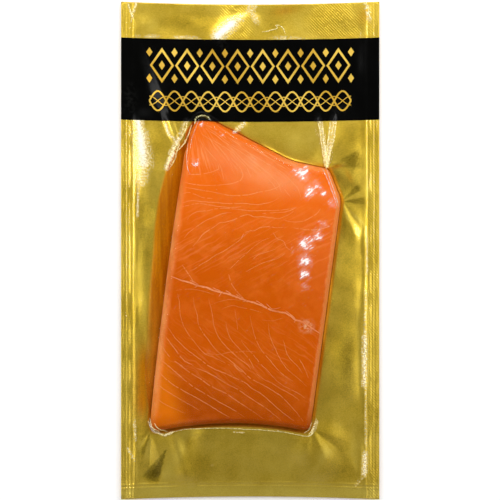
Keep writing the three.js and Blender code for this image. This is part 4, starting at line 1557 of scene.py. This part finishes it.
def softbox(name, place, aim, width, height, power):
    light = bpy.data.lights.new(name, "AREA")
    light.shape = "RECTANGLE"
    light.size = width
    light.size_y = height
    light.energy = power
    box = new_object(name, light)
    box.location = place
    box.rotation_euler = (Vector(aim) - Vector(place)).to_track_quat("-Z", "Y").to_euler()


FLOOR_REACH = 4.0
FLOOR_HEIGHT = -0.0002


def make_floor():
    signs = ((-1, -1), (1, -1), (1, 1), (-1, 1))
    corners = [(x * FLOOR_REACH, y * FLOOR_REACH, FLOOR_HEIGHT) for x, y in signs]
    floor = new_piece("floor", corners, [(0, 1, 2, 3)])
    floor.data.materials.append(pale_floor())


CAMERA_HEIGHT = 1.5
FRAME_HEIGHT = 0.004
FRAME_WIDTH = 0.29015
FRAME_CENTRE = (-0.0001, 0.0003)
SENSOR = 36.0


def make_camera():
    camera = bpy.data.cameras.new("camera")
    camera.sensor_width = SENSOR
    camera.lens = SENSOR * (CAMERA_HEIGHT - FRAME_HEIGHT) / FRAME_WIDTH
    camera.clip_end = 20
    holder = new_object("camera", camera)
    holder.location = (*FRAME_CENTRE, CAMERA_HEIGHT)
    bpy.context.scene.camera = holder


def surround():
    """The studio's soft surround, dark right overhead where the camera looks from."""
    f = Finish(bpy.data.worlds.new("studio"), "ShaderNodeOutputWorld")
    up = f.parts(f.node("ShaderNodeTexCoord").outputs["Generated"])[2]
    strength = up.rise(0.995, 0.93) * 0.38 + 0.02
    inputs = {"Color": (0.97, 0.98, 1.0), "Strength": strength}
    return f.finish(f.node("ShaderNodeBackground", None, inputs).outputs[0])


def make_lights():
    bpy.context.scene.world = surround()
    softbox("softbox_left", (-0.66, 0.1, 0.82), (0, 0, 0), 0.22, 0.6, 2.6)
    softbox("softbox_right", (0.66, 0.15, 0.82), (0, 0, 0), 0.22, 0.6, 3.2)
    softbox("softbox_top", (0, 0.72, 0.82), (0, 0.05, 0), 0.7, 0.25, 5.0)
    bpy.context.scene.view_settings.view_transform = "Standard"


def dress(piece, material, slot, *nodes):
    if not piece.data.materials:
        piece.data.materials.append(material)
    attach(piece, "root")
    if nodes:
        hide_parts(*nodes)


def build():
    spokes = Spokes(SPOKES)
    salmon = make_salmon(spokes)
    dress(salmon, salmon_flesh(), "salmon_flesh", "salmon_cut")
    dress(make_sheet(spokes), gold_foil(), "gold_foil", "gold_back_sheet")
    film = make_film(spokes)
    dress(film, clear_film(), "clear_film", "clear_front_film")
    band = make_print(height_above(film))
    dress(band, black_print(), "black_print", "black_print_band")
    thin_fat = salmon_fat("thin_fat", 0.44, (0.95, 0.36, 0.13))
    seam_fat = salmon_fat("seam_fat", 0.8, (0.95, 0.38, 0.17))
    laid = (
        # name, paths, ground, material, lift, wander, whether it is a tube, and its slot
        ("fat_lines", FAT_LINES, salmon, thin_fat, 0.06, 0.6, False, "salmon_flesh"),
        ("seam", SEAM_LINES, salmon, seam_fat, 0.13, 0.8, False, "salmon_flesh"),
        ("film_folds", FILM_FOLDS, film, film_fold(), 0.05, 1.2, True, "clear_film"),
    )
    for name, paths, ground, material, lift, wander, tube, slot in laid:
        lines = laid_lines(name, paths, ground, material, lift, wander, tube)
        dress(lines, material, slot)
    gilt = gold_print()
    dress(make_ornament(band, gilt), gilt, "gold_foil")
    make_floor()
    make_lights()
    make_camera()


build()
